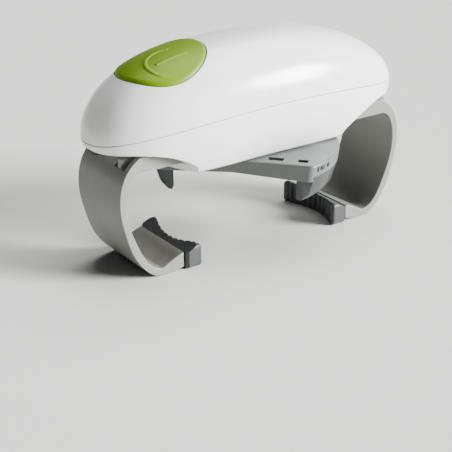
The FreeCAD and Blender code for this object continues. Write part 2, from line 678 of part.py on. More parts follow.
def gear_body(name, layers, bore, centre):
    """A gear body of one or more toothed layers: (teeth, module, low, height alias, turn)."""
    body = new_body(name)
    for number, (teeth, module, low, tall, turn) in enumerate(layers):
        sketch = new_sketch(body, f"{name}_teeth_{number}", "XY_Plane", low)
        outline(sketch, gear_points(size(teeth), size(module), turn))
        pad(body, f"{name}_layer_{number}", sketch, tall)
    if bore:
        sketch = new_sketch(body, f"{name}_bore", "XY_Plane", "40")
        circle = sketch.addGeometry(Part.Circle(Vector(0, 0, 0), Vector(0, 0, 1), 1.0), False)
        pin_circle(sketch, circle, bore)
        pocket(body, f"{name}_bore_cut", sketch, "100", up=True)
    body.Placement.Base = centre
    return body


def pin_circle(sketch, circle, radius):
    """Fixes a circle to the sketch's origin and binds its radius."""
    sketch.addConstraint(Sketcher.Constraint("Coincident", circle, 3, -1, 1))
    number = sketch.addConstraint(Sketcher.Constraint("Radius", circle, 1.0))
    sketch.setExpression(f"Constraints[{number}]", sizes(radius))


def rack_points(module, start, end, back, phase=0.0):
    """A straight rack outline with teeth towards -Y: from start to end, teeth centred on the phase."""
    pitch = math.pi * module
    first = math.ceil((start - phase) / pitch + 0.5)
    last = math.floor((end - phase) / pitch - 0.5)
    points = [(end, back), (start, back), (start, 1.2 * module)]
    for number in range(first, last + 1):
        middle = phase + number * pitch
        for height, side in ((-1.2, -1), (0.92, -1), (0.92, 1), (-1.2, 1)):
            half = 0.215 * pitch - PRESSURE * height * module * 0.62
            points.append((middle + side * half, -height * module))
    points.append((end, 1.2 * module))
    return points


SHAFT_CENTRE = Vector(0, 0, 0)
SECOND_CENTRE = polar((size("output_teeth") + size("second_teeth")) * size("output_module") / 2, size("second_angle"))
FIRST_CENTRE = SECOND_CENTRE + polar((size("second_wheel") + size("first_teeth")) * size("fine_module") / 2,
                                     size("first_angle"))
MOTOR_CENTRE = FIRST_CENTRE + polar((size("first_wheel") + size("motor_teeth")) * size("finest_module") / 2,
                                    size("motor_angle"))


def mesh_turn(teeth, direction, meets_gap):
    """The turn that puts a tooth, or a gap, of a gear in one direction."""
    return direction + (180.0 / teeth if meets_gap else 0.0)


def drive_train():
    """The output gear, two compound gears and the motor pinion, in mesh at rest."""
    bore = "axle_radius + run_clear"
    second_low = "output_bottom + output_tall + wheel_gap"
    first_low = f"{second_low} + wheel_tall + wheel_gap"
    out = gear_body("output_gear", [("output_teeth", "output_module", "output_bottom", "output_tall",
                                     mesh_turn(size("output_teeth"), size("second_angle"), False))],
                    "shaft_radius + run_clear", SHAFT_CENTRE)
    piece("output_gear", out)
    second = gear_body("second_gear", [
        ("second_teeth", "output_module", "output_bottom", "output_tall + wheel_gap",
         mesh_turn(size("second_teeth"), size("second_angle") + 180, True)),
        ("second_wheel", "fine_module", second_low, "wheel_tall",
         mesh_turn(size("second_wheel"), size("first_angle"), False))], bore, SECOND_CENTRE)
    piece("second_gear", second)
    first = gear_body("first_gear", [
        ("first_teeth", "fine_module", second_low, "wheel_tall + wheel_gap",
         mesh_turn(size("first_teeth"), size("first_angle") + 180, True)),
        ("first_wheel", "finest_module", first_low, "wheel_tall",
         mesh_turn(size("first_wheel"), size("motor_angle"), False))], bore, FIRST_CENTRE)
    piece("first_gear", first)
    motor = gear_body("motor_pinion", [("motor_teeth", "finest_module", first_low, "wheel_tall + 0.4",
                                        mesh_turn(size("motor_teeth"), size("motor_angle") + 180, True))],
                      "", MOTOR_CENTRE)
    piece("motor_pinion", motor)


def bridge_low():
    return "output_bottom + output_tall + wheel_gap + wheel_tall + wheel_gap + wheel_tall + 0.8"


def gear_supports():
    """The deck below the train, the axles, the bridge above it, the gearhead and the motor."""
    deck_top = "deck_bottom + deck_thick"
    deck = box("deck_plate", "0 - deck_length / 2", "deck_length / 2", "0 - deck_width / 2", "deck_width / 2",
               "deck_bottom", deck_top)
    inside = hull("deck_limit", size("cover_wall") + 0.4)
    shaft_hole = disc("deck_bore", "shaft_radius + run_clear", "60", "90")
    boss_holes = [disc(f"deck_notch_{i}", "mid_boss_radius + 0.4", "60", "90", str(x), str(y))
                  for i, (x, y) in enumerate(BOSSES) if not at_end(x)]
    pillars = [disc(f"bridge_pillar_{i}", "2.2", "deck_bottom", bridge_low(), str(round(px, 3)), str(round(py, 3)))
               for i, (px, py) in enumerate(BRIDGE_PILLARS)]
    plate = cut("deck_trimmed", common("deck_inside", deck, inside), shaft_hole, *boss_holes)
    piece("gear_deck", fuse("gear_deck", plate, *pillars))
    axles = []
    above_output = "output_bottom + output_tall + wheel_gap / 2"
    for i, (centre, low) in enumerate(((SECOND_CENTRE, deck_top), (FIRST_CENTRE, above_output))):
        axles.append(disc(f"gear_axle_{i}", "axle_radius", low, bridge_low(), str(centre.x), str(centre.y)))
    piece("gear_axles", fuse("gear_axles", *axles))
    low_x = min(x for x, y in BRIDGE_PILLARS) - 3.5
    high_x = max(x for x, y in BRIDGE_PILLARS) + 3.5
    low_y = min(y for x, y in BRIDGE_PILLARS) - 3.5
    high_y = max(y for x, y in BRIDGE_PILLARS) + 3.5
    bridge = box("bridge_plate", str(low_x), str(high_x), str(low_y), str(high_y), bridge_low(),
                 f"{bridge_low()} + bridge_thick")
    hole = disc("bridge_bore", "2.5", "60", "130", str(MOTOR_CENTRE.x), str(MOTOR_CENTRE.y))
    piece("motor_bridge", cut("motor_bridge", bridge, hole))
    head_low = f"{bridge_low()} + bridge_thick"
    motor_x, motor_y = str(MOTOR_CENTRE.x), str(MOTOR_CENTRE.y)
    head = disc("head_can", "gearhead_radius", head_low, f"{head_low} + gearhead_tall", motor_x, motor_y)
    spindle = disc("head_spindle", "1.5", f"{head_low} - bridge_thick - 0.4", f"{head_low} + 1", motor_x, motor_y)
    piece("planetary_gearhead", fuse("planetary_gearhead", head, spindle))
    can_low = f"{head_low} + gearhead_tall"
    can = disc("motor_can", "motor_radius", can_low, f"{can_low} + motor_tall - 1.5", motor_x, motor_y)
    neck = disc("motor_neck", "3.5", can_low, f"{can_low} + motor_tall", motor_x, motor_y)
    piece("drive_motor", fuse("drive_motor", can, neck))


BRIDGE_PILLARS = [(along - size("deck_length") / 2, side * (size("deck_width") / 2 - inset))
                  for along, side, inset in ((6.0, -1, 7.0), (56.0, -1, 3.0), (6.0, 1, 3.5), (56.0, 1, 3.0))]

# ---------------------------------------------------------------- arms

# The arm's side profile as (distance from mid length, height), from the shoulder down and round to the tip.
OUTER_LINE = [(82.8, 70.8), (89.2, 66.2), (93.6, 59.6), (96.0, 50.0), (95.7, 39.6), (92.9, 27.6), (88.6, 15.6),
              (83.0, 7.2), (77.4, 2.0), (71.8, 0.0)]
INNER_LINE = [(84.4, 62.3), (88.8, 58.9), (91.2, 53.2), (92.1, 46.8), (91.8, 40.0), (90.0, 31.6), (86.1, 21.4),
              (81.5, 12.2), (76.6, 6.6), (70.6, 4.3)]


def arm_profile(sketch):
    """Two spline flanks between the slide's end, the shoulder and the thickened tip."""
    stretch = size("arm_span") / 2 - OUTER_LINE[3][0]
    outer = [Vector(-x - stretch, z, 0) for x, z in OUTER_LINE]
    inner = [Vector(-x - stretch, z, 0) for x, z in INNER_LINE]
    tip = -size("tip_place") - stretch
    head_x = -SHOULDER - stretch
    outer[0].y = size("rail_top")
    inner[0].y = size("rail_bottom")
    flank = Part.BSplineCurve()
    flank.interpolate(outer)
    inside = Part.BSplineCurve()
    inside.interpolate(inner)
    head = [Vector(head_x, size("rail_bottom"), 0), Vector(head_x, size("rail_top"), 0)]
    foot = [Vector(tip - size("foot_slope"), 0, 0), Vector(tip, 1.6, 0), Vector(tip, size("tip_height"), 0),
            Vector(tip - 1.8, size("tip_height") - 0.5, 0), Vector(tip - 5.2, size("tip_height") - 1.6, 0)]
    straight = [inner[0]] + head + [outer[0]]
    runs = list(zip(straight, straight[1:]))
    straight = [outer[-1]] + foot + [inner[-1]]
    runs += list(zip(straight, straight[1:]))
    for curve in [flank, inside] + [Part.LineSegment(start, end) for start, end in runs]:
        sketch.addGeometry(curve, False)


SHOULDER = 76.0


def rectangle(sketch, low_x, high_x, low_y, high_y):
    """A rectangle from two corners."""
    outline(sketch, [(low_x, low_y), (high_x, low_y), (high_x, high_y), (low_x, high_y)])


def arm(name, quarter):
    """One C-shaped arm with its slide: two side rails, a rack bar, slotted shoulder and ribs."""
    body = new_body(name)
    profile = new_sketch(body, f"{name}_profile", "XZ_Plane")
    arm_profile(profile)
    pad(body, f"{name}_band", profile, "arm_width", symmetric=True)
    doc.recompute()
    stretch = size("arm_span") / 2 - OUTER_LINE[3][0]
    shoulder = -SHOULDER - stretch
    tip = -size("tip_place") - stretch
    keyway = new_sketch(body, f"{name}_keyway", "XZ_Plane")
    rectangle(keyway, tip - size("key_long"), tip + 1, size("key_place"), size("key_place") + size("pad_key"))
    pocket(body, f"{name}_keyway_cut", keyway, "key_width", symmetric=True)
    half = size("arm_width") / 2
    slot_out = half - size("rail_wall")
    slots = new_sketch(body, f"{name}_slot_plan", "XY_Plane", "rail_bottom + 1.9")
    for side in (-1, 1):
        edges = sorted((side * size("slot_inner"), side * slot_out))
        rectangle(slots, shoulder - 34, shoulder + 2, edges[0], edges[1])
    pocket(body, f"{name}_slots", slots, "30", up=True)
    ribs = new_sketch(body, f"{name}_rib_plan", "XY_Plane", "rail_bottom")
    middle = (size("slot_inner") + slot_out) / 2
    for side in (-1, 1):
        edges = sorted((side * (middle - size("rib_wide") / 2), side * (middle + size("rib_wide") / 2)))
        rectangle(ribs, shoulder - 14.6, shoulder + 2, edges[0], edges[1])
    pad(body, f"{name}_ribs", ribs, "rail_top - rail_bottom - 1.6")
    rails = new_sketch(body, f"{name}_rail_plan", "XY_Plane", "rail_bottom")
    inboard = shoulder + size("rail_reach") - size("arm_close")
    for side in (-1, 1):
        edges = sorted((side * slot_out, side * half))
        rectangle(rails, shoulder - 1, inboard, edges[0], edges[1])
    pad(body, f"{name}_rails", rails, "rail_top - rail_bottom")
    pitch_radius = size("arm_teeth") * size("arm_module") / 2
    rack_end = size("arm_open") + 2.5 * math.pi * size("arm_module")
    back = 1.2 * size("arm_module") + size("rack_back")
    toothed = rack_points(size("arm_module"), shoulder - 1, rack_end, back)
    rack = new_sketch(body, f"{name}_rack_plan", "XY_Plane", "rail_bottom + 0.9")
    outline(rack, [(x, y + pitch_radius) for x, y in toothed])
    pad(body, f"{name}_rack", rack, "rack_tall")
    doc.recompute()
    turned(body, quarter)
    return piece(name, body)


def arm_pinion():
    """The pinion between the two racks; a tooth gap faces each rack's tooth."""
    body = gear_body("arm_pinion", [("arm_teeth", "arm_module", "rail_bottom + 0.6", "rack_tall + 0.6",
                                     90.0 + 180.0 / size("arm_teeth"))], "shaft_radius + run_clear", SHAFT_CENTRE)
    return piece("arm_pinion", body)


def jar_pad(name, quarter):
    """A soft grip block on an arm tip: a hollowed face towards the jar and a sloping top."""
    stretch = size("arm_span") / 2 - OUTER_LINE[3][0]
    back = -size("tip_place") - stretch + size("pad_gap")
    body = new_body(name)
    plan = new_sketch(body, f"{name}_plan", "XY_Plane", "0")
    half = size("pad_width") / 2
    corner, bevel = size("pad_corner"), size("pad_bevel")
    middle_x = -size("pad_stand") - stretch
    end_y = half - corner
    end_x = middle_x - math.sqrt(size("jar_radius") ** 2 - end_y ** 2)
    face_x = middle_x - size("jar_radius")
    side_x = end_x - corner * 0.75
    bend_x, bend_y = end_x - corner * 0.02, half - corner * 0.25
    for side in (-1, 1):
        plan.addGeometry(Part.LineSegment(Vector(back, side * (half - bevel), 0),
                                          Vector(back + bevel, side * half, 0)), False)
        plan.addGeometry(Part.LineSegment(Vector(back + bevel, side * half, 0),
                                          Vector(side_x, side * half, 0)), False)
        plan.addGeometry(Part.Arc(Vector(side_x, side * half, 0), Vector(bend_x, side * bend_y, 0),
                                  Vector(end_x, side * end_y, 0)), False)
    plan.addGeometry(Part.LineSegment(Vector(back, bevel - half, 0), Vector(back, half - bevel, 0)), False)
    plan.addGeometry(Part.Arc(Vector(end_x, end_y, 0), Vector(face_x, 0, 0), Vector(end_x, -end_y, 0)), False)
    pad(body, f"{name}_block", plan, "pad_height")
    doc.recompute()
    slope = new_sketch(body, f"{name}_slope", "XZ_Plane")
    crest = back + size("pad_crest")
    above = size("pad_height") + 5
    outline(slope, [(back - 1, size("tip_height") - 0.8), (back, size("tip_height") - 0.4), (crest, size("pad_height")),
                    (crest, above), (back - 1, above)])
    pocket(body, f"{name}_top", slope, "pad_width + 10", symmetric=True)
    grooves = new_sketch(body, f"{name}_groove_plan", "XY_Plane", "2")
    count = int(end_y / size("groove_pitch") - 0.4)
    for number in range(-count, count + 1):
        turn = math.asin(number * size("groove_pitch") / size("jar_radius"))
        spot = Vector(middle_x - size("jar_radius") * math.cos(turn), size("jar_radius") * math.sin(turn), 0)
        grooves.addGeometry(Part.Circle(spot, Vector(0, 0, 1), size("groove_radius")), False)
    pocket(body, f"{name}_grooves", grooves, "pad_height + 5", up=True)
    doc.recompute()
    key = new_sketch(body, f"{name}_key_side", "XZ_Plane")
    key_back = -size("tip_place") - stretch - size("key_long")
    rectangle(key, key_back, back + 0.5, size("key_place"), size("key_place") + size("pad_key"))
    pad(body, f"{name}_key", key, "key_width", symmetric=True)
    turned(body, quarter)
    return piece(name, body)


# ---------------------------------------------------------------- turntable

def turn_form(name, low, high, radius_low, radius_high, flat, edge=0.0):
    """A round plate with two flats: a cone frustum trimmed by a box along the slide axis."""
    if radius_low == radius_high:
        cone = Part.makeCylinder(radius_low, high - low, Vector(0, 0, low))
    else:
        cone = Part.makeCone(radius_low, radius_high, high - low, Vector(0, 0, low))
    slab = Part.makeBox(2 * radius_high + 20, flat, high - low, Vector(-radius_high - 10, -flat / 2, low))
    shape = cone.common(slab)
    upright = [edge for edge in shape.Edges
               if abs(edge.Vertexes[0].Z - edge.Vertexes[-1].Z) > (high - low) * 0.8 and len(edge.Vertexes) == 2]
    rounded = shape.makeFillet(size("turn_corner"), upright) if upright else shape
    if edge:
        rim = [edge_line for edge_line in rounded.Edges if min(v.Z for v in edge_line.Vertexes) > high - 0.001]
        rounded = rounded.makeFillet(edge, rim)
    return feature(name, rounded)


def turntable():
    """An upside-down tray with a hub: top plate, flanks, end walls with slots and two plate holes."""
    low, high = size("turn_bottom"), size("turn_top")
    radius, taper, wall = size("turn_radius"), size("turn_taper"), size("turn_wall")
    flat = size("turn_flat")
    outer = turn_form("turn_outer", low, high, radius - taper, radius, flat, size("turn_edge"))
    inner = turn_form("turn_inner", low - 1, high - size("turn_plate"), radius - taper - wall, radius - taper - wall,
                      flat - 2 * wall)
    hub = disc("turn_hub", "hub_radius", "turn_top - 1", "hub_top")
    bore = disc("turn_bore", "shaft_radius + run_clear", "40", "70")
    holes = []
    for side in (-1, 1):
        for i, (u, v, long) in enumerate(((23.0, 23.4, 4.5), (38.2, 23.4, 2.9))):
            holes.append(box(f"plate_hole_{side}_{i}", f"{side * u} - {long}", f"{side * u} + {long}",
                             f"{-side * v} - 2.1", f"{-side * v} + 2.1", "turn_top - turn_plate - 1", "turn_top + 1"))
    windows = []
    for side in (-1, 1):
        for i, (v, wide) in enumerate(((-25.6, 1.4), (-22.0, 3.8), (-16.6, 2.6))):
            windows.append(box(f"end_window_{side}_{i}", str(30.0 if side > 0 else -60.0),
                               str(60.0 if side > 0 else -30.0), str(side * v - wide / 2), str(side * v + wide / 2),
                               "turn_bottom + 2.8", "turn_bottom + 5.6"))
    body = cut("turntable", fuse("turn_body", cut("turn_tray", outer, inner), hub, *flank_skirts()),
               bore, *holes, *windows)
    return piece("turntable", turned(body, size("turn_rest")))


def flank_skirts():
    """The two flanks' lower edges: level at mid length and deeper towards the corners."""
    low, drop = size("turn_bottom"), size("skirt_drop")
    radius = size("turn_radius") - size("turn_taper")
    far = radius + 5
    place = size("skirt_place")
    line = [(-far, low + 2), (-far, low - drop), (-place, low - drop), (0, low), (place, low - drop),
            (far, low - drop), (far, low + 2)]
    limit = turn_form("skirt_limit", low - drop, low + 2, radius, radius, size("turn_flat"))
    made = []
    for side in (-1, 1):
        near = size("turn_flat") / 2 - size("turn_wall")
        start = near if side > 0 else -size("turn_flat") / 2
        wire = Part.makePolygon([Vector(u, start, z) for u, z in line + line[:1]])
        wedge = feature(f"skirt_wedge_{side}", Part.Face(wire).extrude(Vector(0, size("turn_wall"), 0)))
        made.append(common(f"flank_skirt_{side}", wedge, limit))
    return made


def rack_side():
    """Half-width of the lid rack bar's outer edge from the slide axis."""
    return size("lid_teeth") * size("lid_module") / 2 + 1.2 * size("lid_module") + size("lid_rack_back")


def turntable_base():
    """The plate that closes the turntable from below, with a slot for each jaw's neck and guide tab."""
    low, thick = size("turn_bottom"), size("base_thick")
    inset = size("turn_wall") + size("base_clear")
    radius = size("turn_radius") - size("turn_taper") - inset
    plate = turn_form("base_form", low, low + thick, radius, radius, size("turn_flat") - 2 * inset)
    clear = size("neck_clear")
    near = size("neck_place") - size("jaw_close") - clear
    far = radius + 5
    slots = []
    for side in (-1, 1):
        spans = ((rack_side() - size("neck_wide"), rack_side()),
                 (-size("guide_place") - size("neck_wide") / 2, -size("guide_place") + size("neck_wide") / 2))
        for i, (inner_y, outer_y) in enumerate(spans):
            ends = sorted((side * near, side * far))
            edges = sorted((side * (inner_y - clear), side * (outer_y + clear)))
            slots.append(feature(f"neck_slot_{side}_{i}", Part.makeBox(
                ends[1] - ends[0], edges[1] - edges[0], thick + 2, Vector(ends[0], edges[0], low - 1))))
    bore = disc("base_bore", "shaft_radius + run_clear", "40", "60")
    return piece("turntable_base", turned(cut("turntable_base", plate, bore, *slots), size("turn_rest")))


def turntable_ring():
    """The retaining ring on the hub above the bowl floor."""
    low = "lip_height + floor_recess + floor_thick + 0.2"
    ring = cut("turntable_ring", disc("ring_disc", "hub_radius + 3.4", low, "hub_top - 0.1"),
               disc("ring_bore", "hub_radius", "50", "70"))
    return piece("turntable_ring", ring)


def jaw_section():
    """The skirt's cross-section as (radius, height): upright inside, leaning in on the outside."""
    return [(size("jaw_inner"), size("jaw_top")), (size("jaw_outer_top"), size("jaw_top")),
            (size("jaw_outer_mid"), size("jaw_shoulder")), (size("jaw_outer_low"), size("jaw_bottom")),
            (size("jaw_inner"), size("jaw_bottom"))]


def revolve_sector(body, name, section, half_angle):
    """Revolves a (radius, height) section about Z, centred on +X."""
    sketch = new_sketch(body, f"{name}_section", "XZ_Plane")
    outline(sketch, section)
    item = body.newObject("PartDesign::Revolution", name)
    item.Profile = sketch
    item.ReferenceAxis = (next(a for a in body.Origin.OriginFeatures if a.Role == "Z_Axis"), [""])
    item.Midplane = True
    item.Angle = 2 * half_angle
    return item


def lid_jaw(name, turn):
    """A curved skirt with a neck, a rack and a guide tab that ride inside the turntable."""
    body = new_body(name)
    revolve_sector(body, f"{name}_skirt", jaw_section(), size("jaw_half_angle"))
    doc.recompute()
    side_y = size("turn_flat") / 2 - size("turn_wall") - size("jaw_side_clear")
    sides = new_sketch(body, f"{name}_side_plan", "XY_Plane", "jaw_bottom - 1")
    for side in (-1, 1):
        edges = sorted((side * side_y, side * size("jaw_outer_top")))
        rectangle(sides, 0, size("jaw_outer_top") + 5, edges[0], edges[1])
    pocket(body, f"{name}_sides", sides, "jaw_top - jaw_bottom + 2", up=True)
    doc.recompute()
    base_top = size("turn_bottom") + size("base_thick")
    outer_y = rack_side()
    start = size("neck_place")
    stop = start + size("neck_long")
    necks = new_sketch(body, f"{name}_neck_plan", "XY_Plane", "jaw_top - 1")
    rectangle(necks, start, stop, outer_y - size("neck_wide"), outer_y)
    rectangle(necks, start, start + size("guide_long"), -size("guide_place") - size("neck_wide") / 2,
              -size("guide_place") + size("neck_wide") / 2)
    pad(body, f"{name}_necks", necks, "turn_bottom + base_thick + 0.2 - ( jaw_top - 1 ) + 0.5")
    link = new_sketch(body, f"{name}_link_plan", "XY_Plane", "jaw_top - 3")
    rectangle(link, start, size("jaw_inner") + 1.5, -size("guide_place") - size("neck_wide") / 2, outer_y)
    pad(body, f"{name}_link", link, "3")
    pitch_radius = size("lid_teeth") * size("lid_module") / 2
    back = 1.2 * size("lid_module") + size("lid_rack_back")
    phase = LID_PHASE
    toothed = rack_points(size("lid_module"), -size("lid_rack_past"), stop, back, phase)
    rack = new_sketch(body, f"{name}_rack_plan", "XY_Plane", "turn_bottom + base_thick + 0.2")
    outline(rack, [(x, y + pitch_radius) for x, y in toothed])
    rectangle(rack, start, start + size("guide_long"), -size("guide_place") - size("guide_foot") / 2,
              -size("guide_place") + size("guide_foot") / 2)
    pad(body, f"{name}_rack", rack, "lid_rack_tall")
    doc.recompute()
    turned(body, size("turn_rest") + turn)
    return piece(name, body)


LID_PHASE = 0.0


def lid_grip(name, turn):
    """The rubber liner on the inside of a jaw, with upright grip ribs."""
    body = new_body(name)
    inner = size("jaw_inner") - size("grip_liner")
    low, high = size("jaw_bottom") + 0.6, size("jaw_top") - 3.2
    section = [(inner, low), (size("jaw_inner"), low), (size("jaw_inner"), high), (inner, high)]
    revolve_sector(body, f"{name}_strip", section, size("grip_half_angle"))
    doc.recompute()
    grooves = new_sketch(body, f"{name}_groove_plan", "XY_Plane", "jaw_bottom - 1")
    count = int(size("grip_half_angle") / size("grip_rib_step") - 0.5)
    for number in range(-count, count + 1):
        grooves.addGeometry(Part.Circle(polar(inner, number * size("grip_rib_step")), Vector(0, 0, 1),
                                        size("grip_groove")), False)
    pocket(body, f"{name}_grooves", grooves, "jaw_top - jaw_bottom", up=True)
    doc.recompute()
    turned(body, size("turn_rest") + turn)
    return piece(name, body)


def drive_shaft():
    """The shaft with the lid pinion at its foot."""
    body = gear_body("drive_shaft", [("lid_teeth", "lid_module", "turn_bottom + base_thick + 0.2", "lid_rack_tall",
                                      90.0 + 180.0 / size("lid_teeth"))], "", SHAFT_CENTRE)
    sketch = new_sketch(body, "shaft_plan", "XY_Plane", "turn_bottom + 0.2")
    circle = sketch.addGeometry(Part.Circle(Vector(0, 0, 0), Vector(0, 0, 1), 1.0), False)
    pin_circle(sketch, circle, "shaft_radius")
    pad(body, "shaft_length", sketch, "output_bottom + output_tall + 1.5 - turn_bottom - 0.2")
    doc.recompute()
    return piece("drive_shaft", turned(body, size("turn_rest")))


def clutch():
    """The friction disc under the arm pinion and the wave washer above it."""
    low = "hub_top + 0.05"
    plate = cut("clutch_disc", disc("clutch_plate", "hub_radius - 0.3", low, "rail_bottom + 0.5"),
                disc("clutch_bore", "shaft_radius + 0.3", "50", "70"))
    piece("clutch_disc", plate)
    top = "rail_bottom + 0.6 + rack_tall + 0.6 + 0.1"
    washer = cut("clutch_spring", disc("washer_plate", "hub_radius - 1.5", top, f"{top} + 1.2"),
                 disc("washer_bore", "shaft_radius + 0.3", "60", "80"))
    piece("clutch_spring", washer)


# ---------------------------------------------------------------- power

def batteries():
    """Two cells side by side, their cradle and the contacts at both ends."""
    cells = []
    for i, side in enumerate((-1, 1)):
        for part, radius, start, length in (("can", "cell_radius", "cell_start", "cell_length - 1"),
                                            ("cap", "2.7", "cell_start + 5", "cell_length - 5")):
            item = add("Part::Cylinder", f"cell_{part}_{i}", Radius=sizes(radius), Height=sizes(length))
            item.Placement.Rotation = Rotation(Vector(0, 1, 0), 90)
            item.setExpression("Placement.Base.x", sizes(start))
            item.setExpression("Placement.Base.y", sizes(f"{side} * cell_pitch / 2"))
            item.setExpression("Placement.Base.z", sizes("cell_height"))
            cells.append(item)
    piece("battery_cells", fuse("battery_cells", *cells))
    low_z = "cell_height - cell_radius - cradle_wall"
    high_z = "cell_height - 1.5"
    side_y = "cell_pitch / 2 + cell_radius + 0.2"
    start, stop = "cell_start - 2", "cell_start + cell_length + 1.6"
    shell = box("cradle_block", f"{start} - cradle_wall", f"{stop} + cradle_wall",
                f"0 - ( {side_y} ) - cradle_wall", f"{side_y} + cradle_wall", low_z, high_z)
    hollow = box("cradle_hollow", start, stop, f"0 - ( {side_y} )", side_y, f"{low_z} + cradle_wall - 0.1", "130")
    wings = box("cradle_wings", "46", "74", "0 - 25.4", "25.4", low_z, f"{low_z} + cradle_wall - 0.1")
    limit = hull("cradle_limit", size("cover_wall") + 0.4)
    piece("battery_cradle", common("battery_cradle", fuse("cradle_form", cut("cradle_tray", shell, hollow), wings),
                                   limit))
    plates = []
    for i, (low_x, high_x) in enumerate(((start, f"{start} + 0.5"), (f"{stop} - 0.5", stop))):
        plates.append(box(f"contact_{i}", low_x, high_x, "0 - cell_pitch / 2 - 5", "cell_pitch / 2 + 5",
                          "cell_height - 5.5", "cell_height + 5"))
    piece("battery_contacts", fuse("battery_contacts", *plates))


# ---------------------------------------------------------------- build and write

upper_cover()
battery_door()
lower_cover()
screws()
start_button()
circuit_board()
start_switch()
button_spring()
drive_train()
gear_supports()
for arm_name, pad_name, angle in (("left_arm", "left_jar_pad", 0), ("right_arm", "right_jar_pad", 180)):
    arm(arm_name, angle)
    jar_pad(pad_name, angle)
arm_pinion()
turntable()
turntable_base()
turntable_ring()
for jaw_name, grip_name, angle in (("front_lid_jaw", "front_lid_grip", 0), ("rear_lid_jaw", "rear_lid_grip", 180)):
    lid_jaw(jaw_name, angle)
    lid_grip(grip_name, angle)
drive_shaft()
clutch()
batteries()

doc.recompute()
faults = [item.Name for item in doc.Objects if "Invalid" in item.State or "Error" in item.State]
for name, item in PIECES.items():
    if item.Shape.isNull() or not item.Shape.isValid() or not item.Shape.Solids:
        faults.append(name + " has no valid shape")
if faults:
    raise RuntimeError("these did not build: " + ", ".join(faults))
for name, item in PIECES.items():
    item.Shape.exportStep(f"parts/{name}.step")
    box_now = item.Shape.BoundBox
    print(f"{name:20s} solids {len(item.Shape.Solids)} volume {item.Shape.Volume:9.0f} "
          f"x {box_now.XMin:7.1f} {box_now.XMax:7.1f} y {box_now.YMin:7.1f} {box_now.YMax:7.1f} "
          f"z {box_now.ZMin:7.1f} {box_now.ZMax:7.1f}")
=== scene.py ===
"""Looks of the electric jar opener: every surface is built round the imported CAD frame."""
import logging
import math
from collections.abc import Callable
from dataclasses import dataclass, field
from enum import Enum

import bmesh
import bpy
import numpy as np
from bpy.types import ID, Material, Mesh, Node, NodeSocket, NodeTree, Object
from mathutils import Matrix, Vector


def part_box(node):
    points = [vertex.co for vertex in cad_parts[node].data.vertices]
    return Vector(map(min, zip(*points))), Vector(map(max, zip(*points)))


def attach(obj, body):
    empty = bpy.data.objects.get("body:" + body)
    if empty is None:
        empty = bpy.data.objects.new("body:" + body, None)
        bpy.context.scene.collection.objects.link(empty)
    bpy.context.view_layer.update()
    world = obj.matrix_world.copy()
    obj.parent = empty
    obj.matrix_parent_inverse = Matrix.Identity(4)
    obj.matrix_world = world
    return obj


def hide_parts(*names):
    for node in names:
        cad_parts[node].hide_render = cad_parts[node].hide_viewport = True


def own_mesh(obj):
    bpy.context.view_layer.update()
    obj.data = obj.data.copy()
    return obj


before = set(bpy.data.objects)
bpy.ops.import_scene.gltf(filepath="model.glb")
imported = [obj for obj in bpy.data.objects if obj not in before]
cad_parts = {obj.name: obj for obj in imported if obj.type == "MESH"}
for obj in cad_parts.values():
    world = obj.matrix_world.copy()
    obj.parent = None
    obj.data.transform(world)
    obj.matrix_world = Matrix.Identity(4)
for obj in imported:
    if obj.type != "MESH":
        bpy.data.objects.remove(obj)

LOG = logging.getLogger("jar_opener")
MM = 0.001                 # metres in a millimetre
IMAGE_SIDE = 452           # side of the rendered view in pixels
TINY = 1e-6                # keeps a division away from zero
WELD_MM = 0.002            # points of a built mesh nearer than this are one
CAD_WELD_MM = 0.004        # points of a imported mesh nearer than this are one
CAD_FLAT_DEGREES = 0.6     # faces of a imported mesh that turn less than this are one
SIDE_NORMAL = 0.98         # least share of a normal along an axis that makes a face flat
SIDE_MARGIN_MM = 0.4       # how near a piece's side an edge lies that bounds it
HALVINGS = 48              # steps of the root search
JAW_BEARINGS = {"front": -49.0, "rear": 131.0}   # where each lid jaw stands at rest, in degrees about Z


# ---------------------------------------------------------------- colour and node helpers

def linear(colour: str) -> tuple[float, float, float, float]:
    """Turns an sRGB hex colour into linear light.

    Args:
        colour: Six hex digits, such as "E6E7E4".

    Returns:
        Red, green, blue and an alpha of one.
    """
    parts = [int(colour[k:k + 2], 16) / 255 for k in (0, 2, 4)]
    light = [v / 12.92 if v <= 0.04045 else ((v + 0.055) / 1.055) ** 2.4 for v in parts]
    return light[0], light[1], light[2], 1.0


def put(tree: NodeTree, socket: NodeSocket, value: object) -> None:
    """Links an input to an output socket, or sets the input to a value.

    Args:
        tree: The node tree.
        socket: The input.
        value: An output socket or a plain value.
    """
    if isinstance(value, NodeSocket):
        tree.links.new(value, socket)
    else:
        socket.default_value = value


def add_node(tree: NodeTree, kind: str, settings: dict | None = None, **links) -> Node:
    """Adds one shader node with its settings, input values and links.

    Args:
        tree: The node tree.
        kind: The node's type name.
        settings: Attributes of the node.
        **links: Input names, with underscores for spaces, and a value or an output socket for each.

    Returns:
        The new node.
    """
    node = tree.nodes.new(kind)
    for key, value in (settings or {}).items():
        setattr(node, key, value)
    for key, value in links.items():
        put(tree, next(s for s in node.inputs if s.name == key.replace("_", " ") and s.enabled), value)
    return node


def mixed(tree: NodeTree, factor: NodeSocket, first: object, second: object) -> NodeSocket:
    """Mixes two colours.

    Args:
        tree: The node tree.
        factor: Share of the second colour.
        first: A colour or an output socket.
        second: A colour or an output socket.

    Returns:
        The socket of the mixed colour.
    """
    node = add_node(tree, "ShaderNodeMix", {"data_type": "RGBA"})
    colours = [s for s in node.inputs if s.type == "RGBA"]
    for socket, value in zip((node.inputs[0], *colours), (factor, first, second)):
        put(tree, socket, value)
    return next(s for s in node.outputs if s.type == "RGBA")


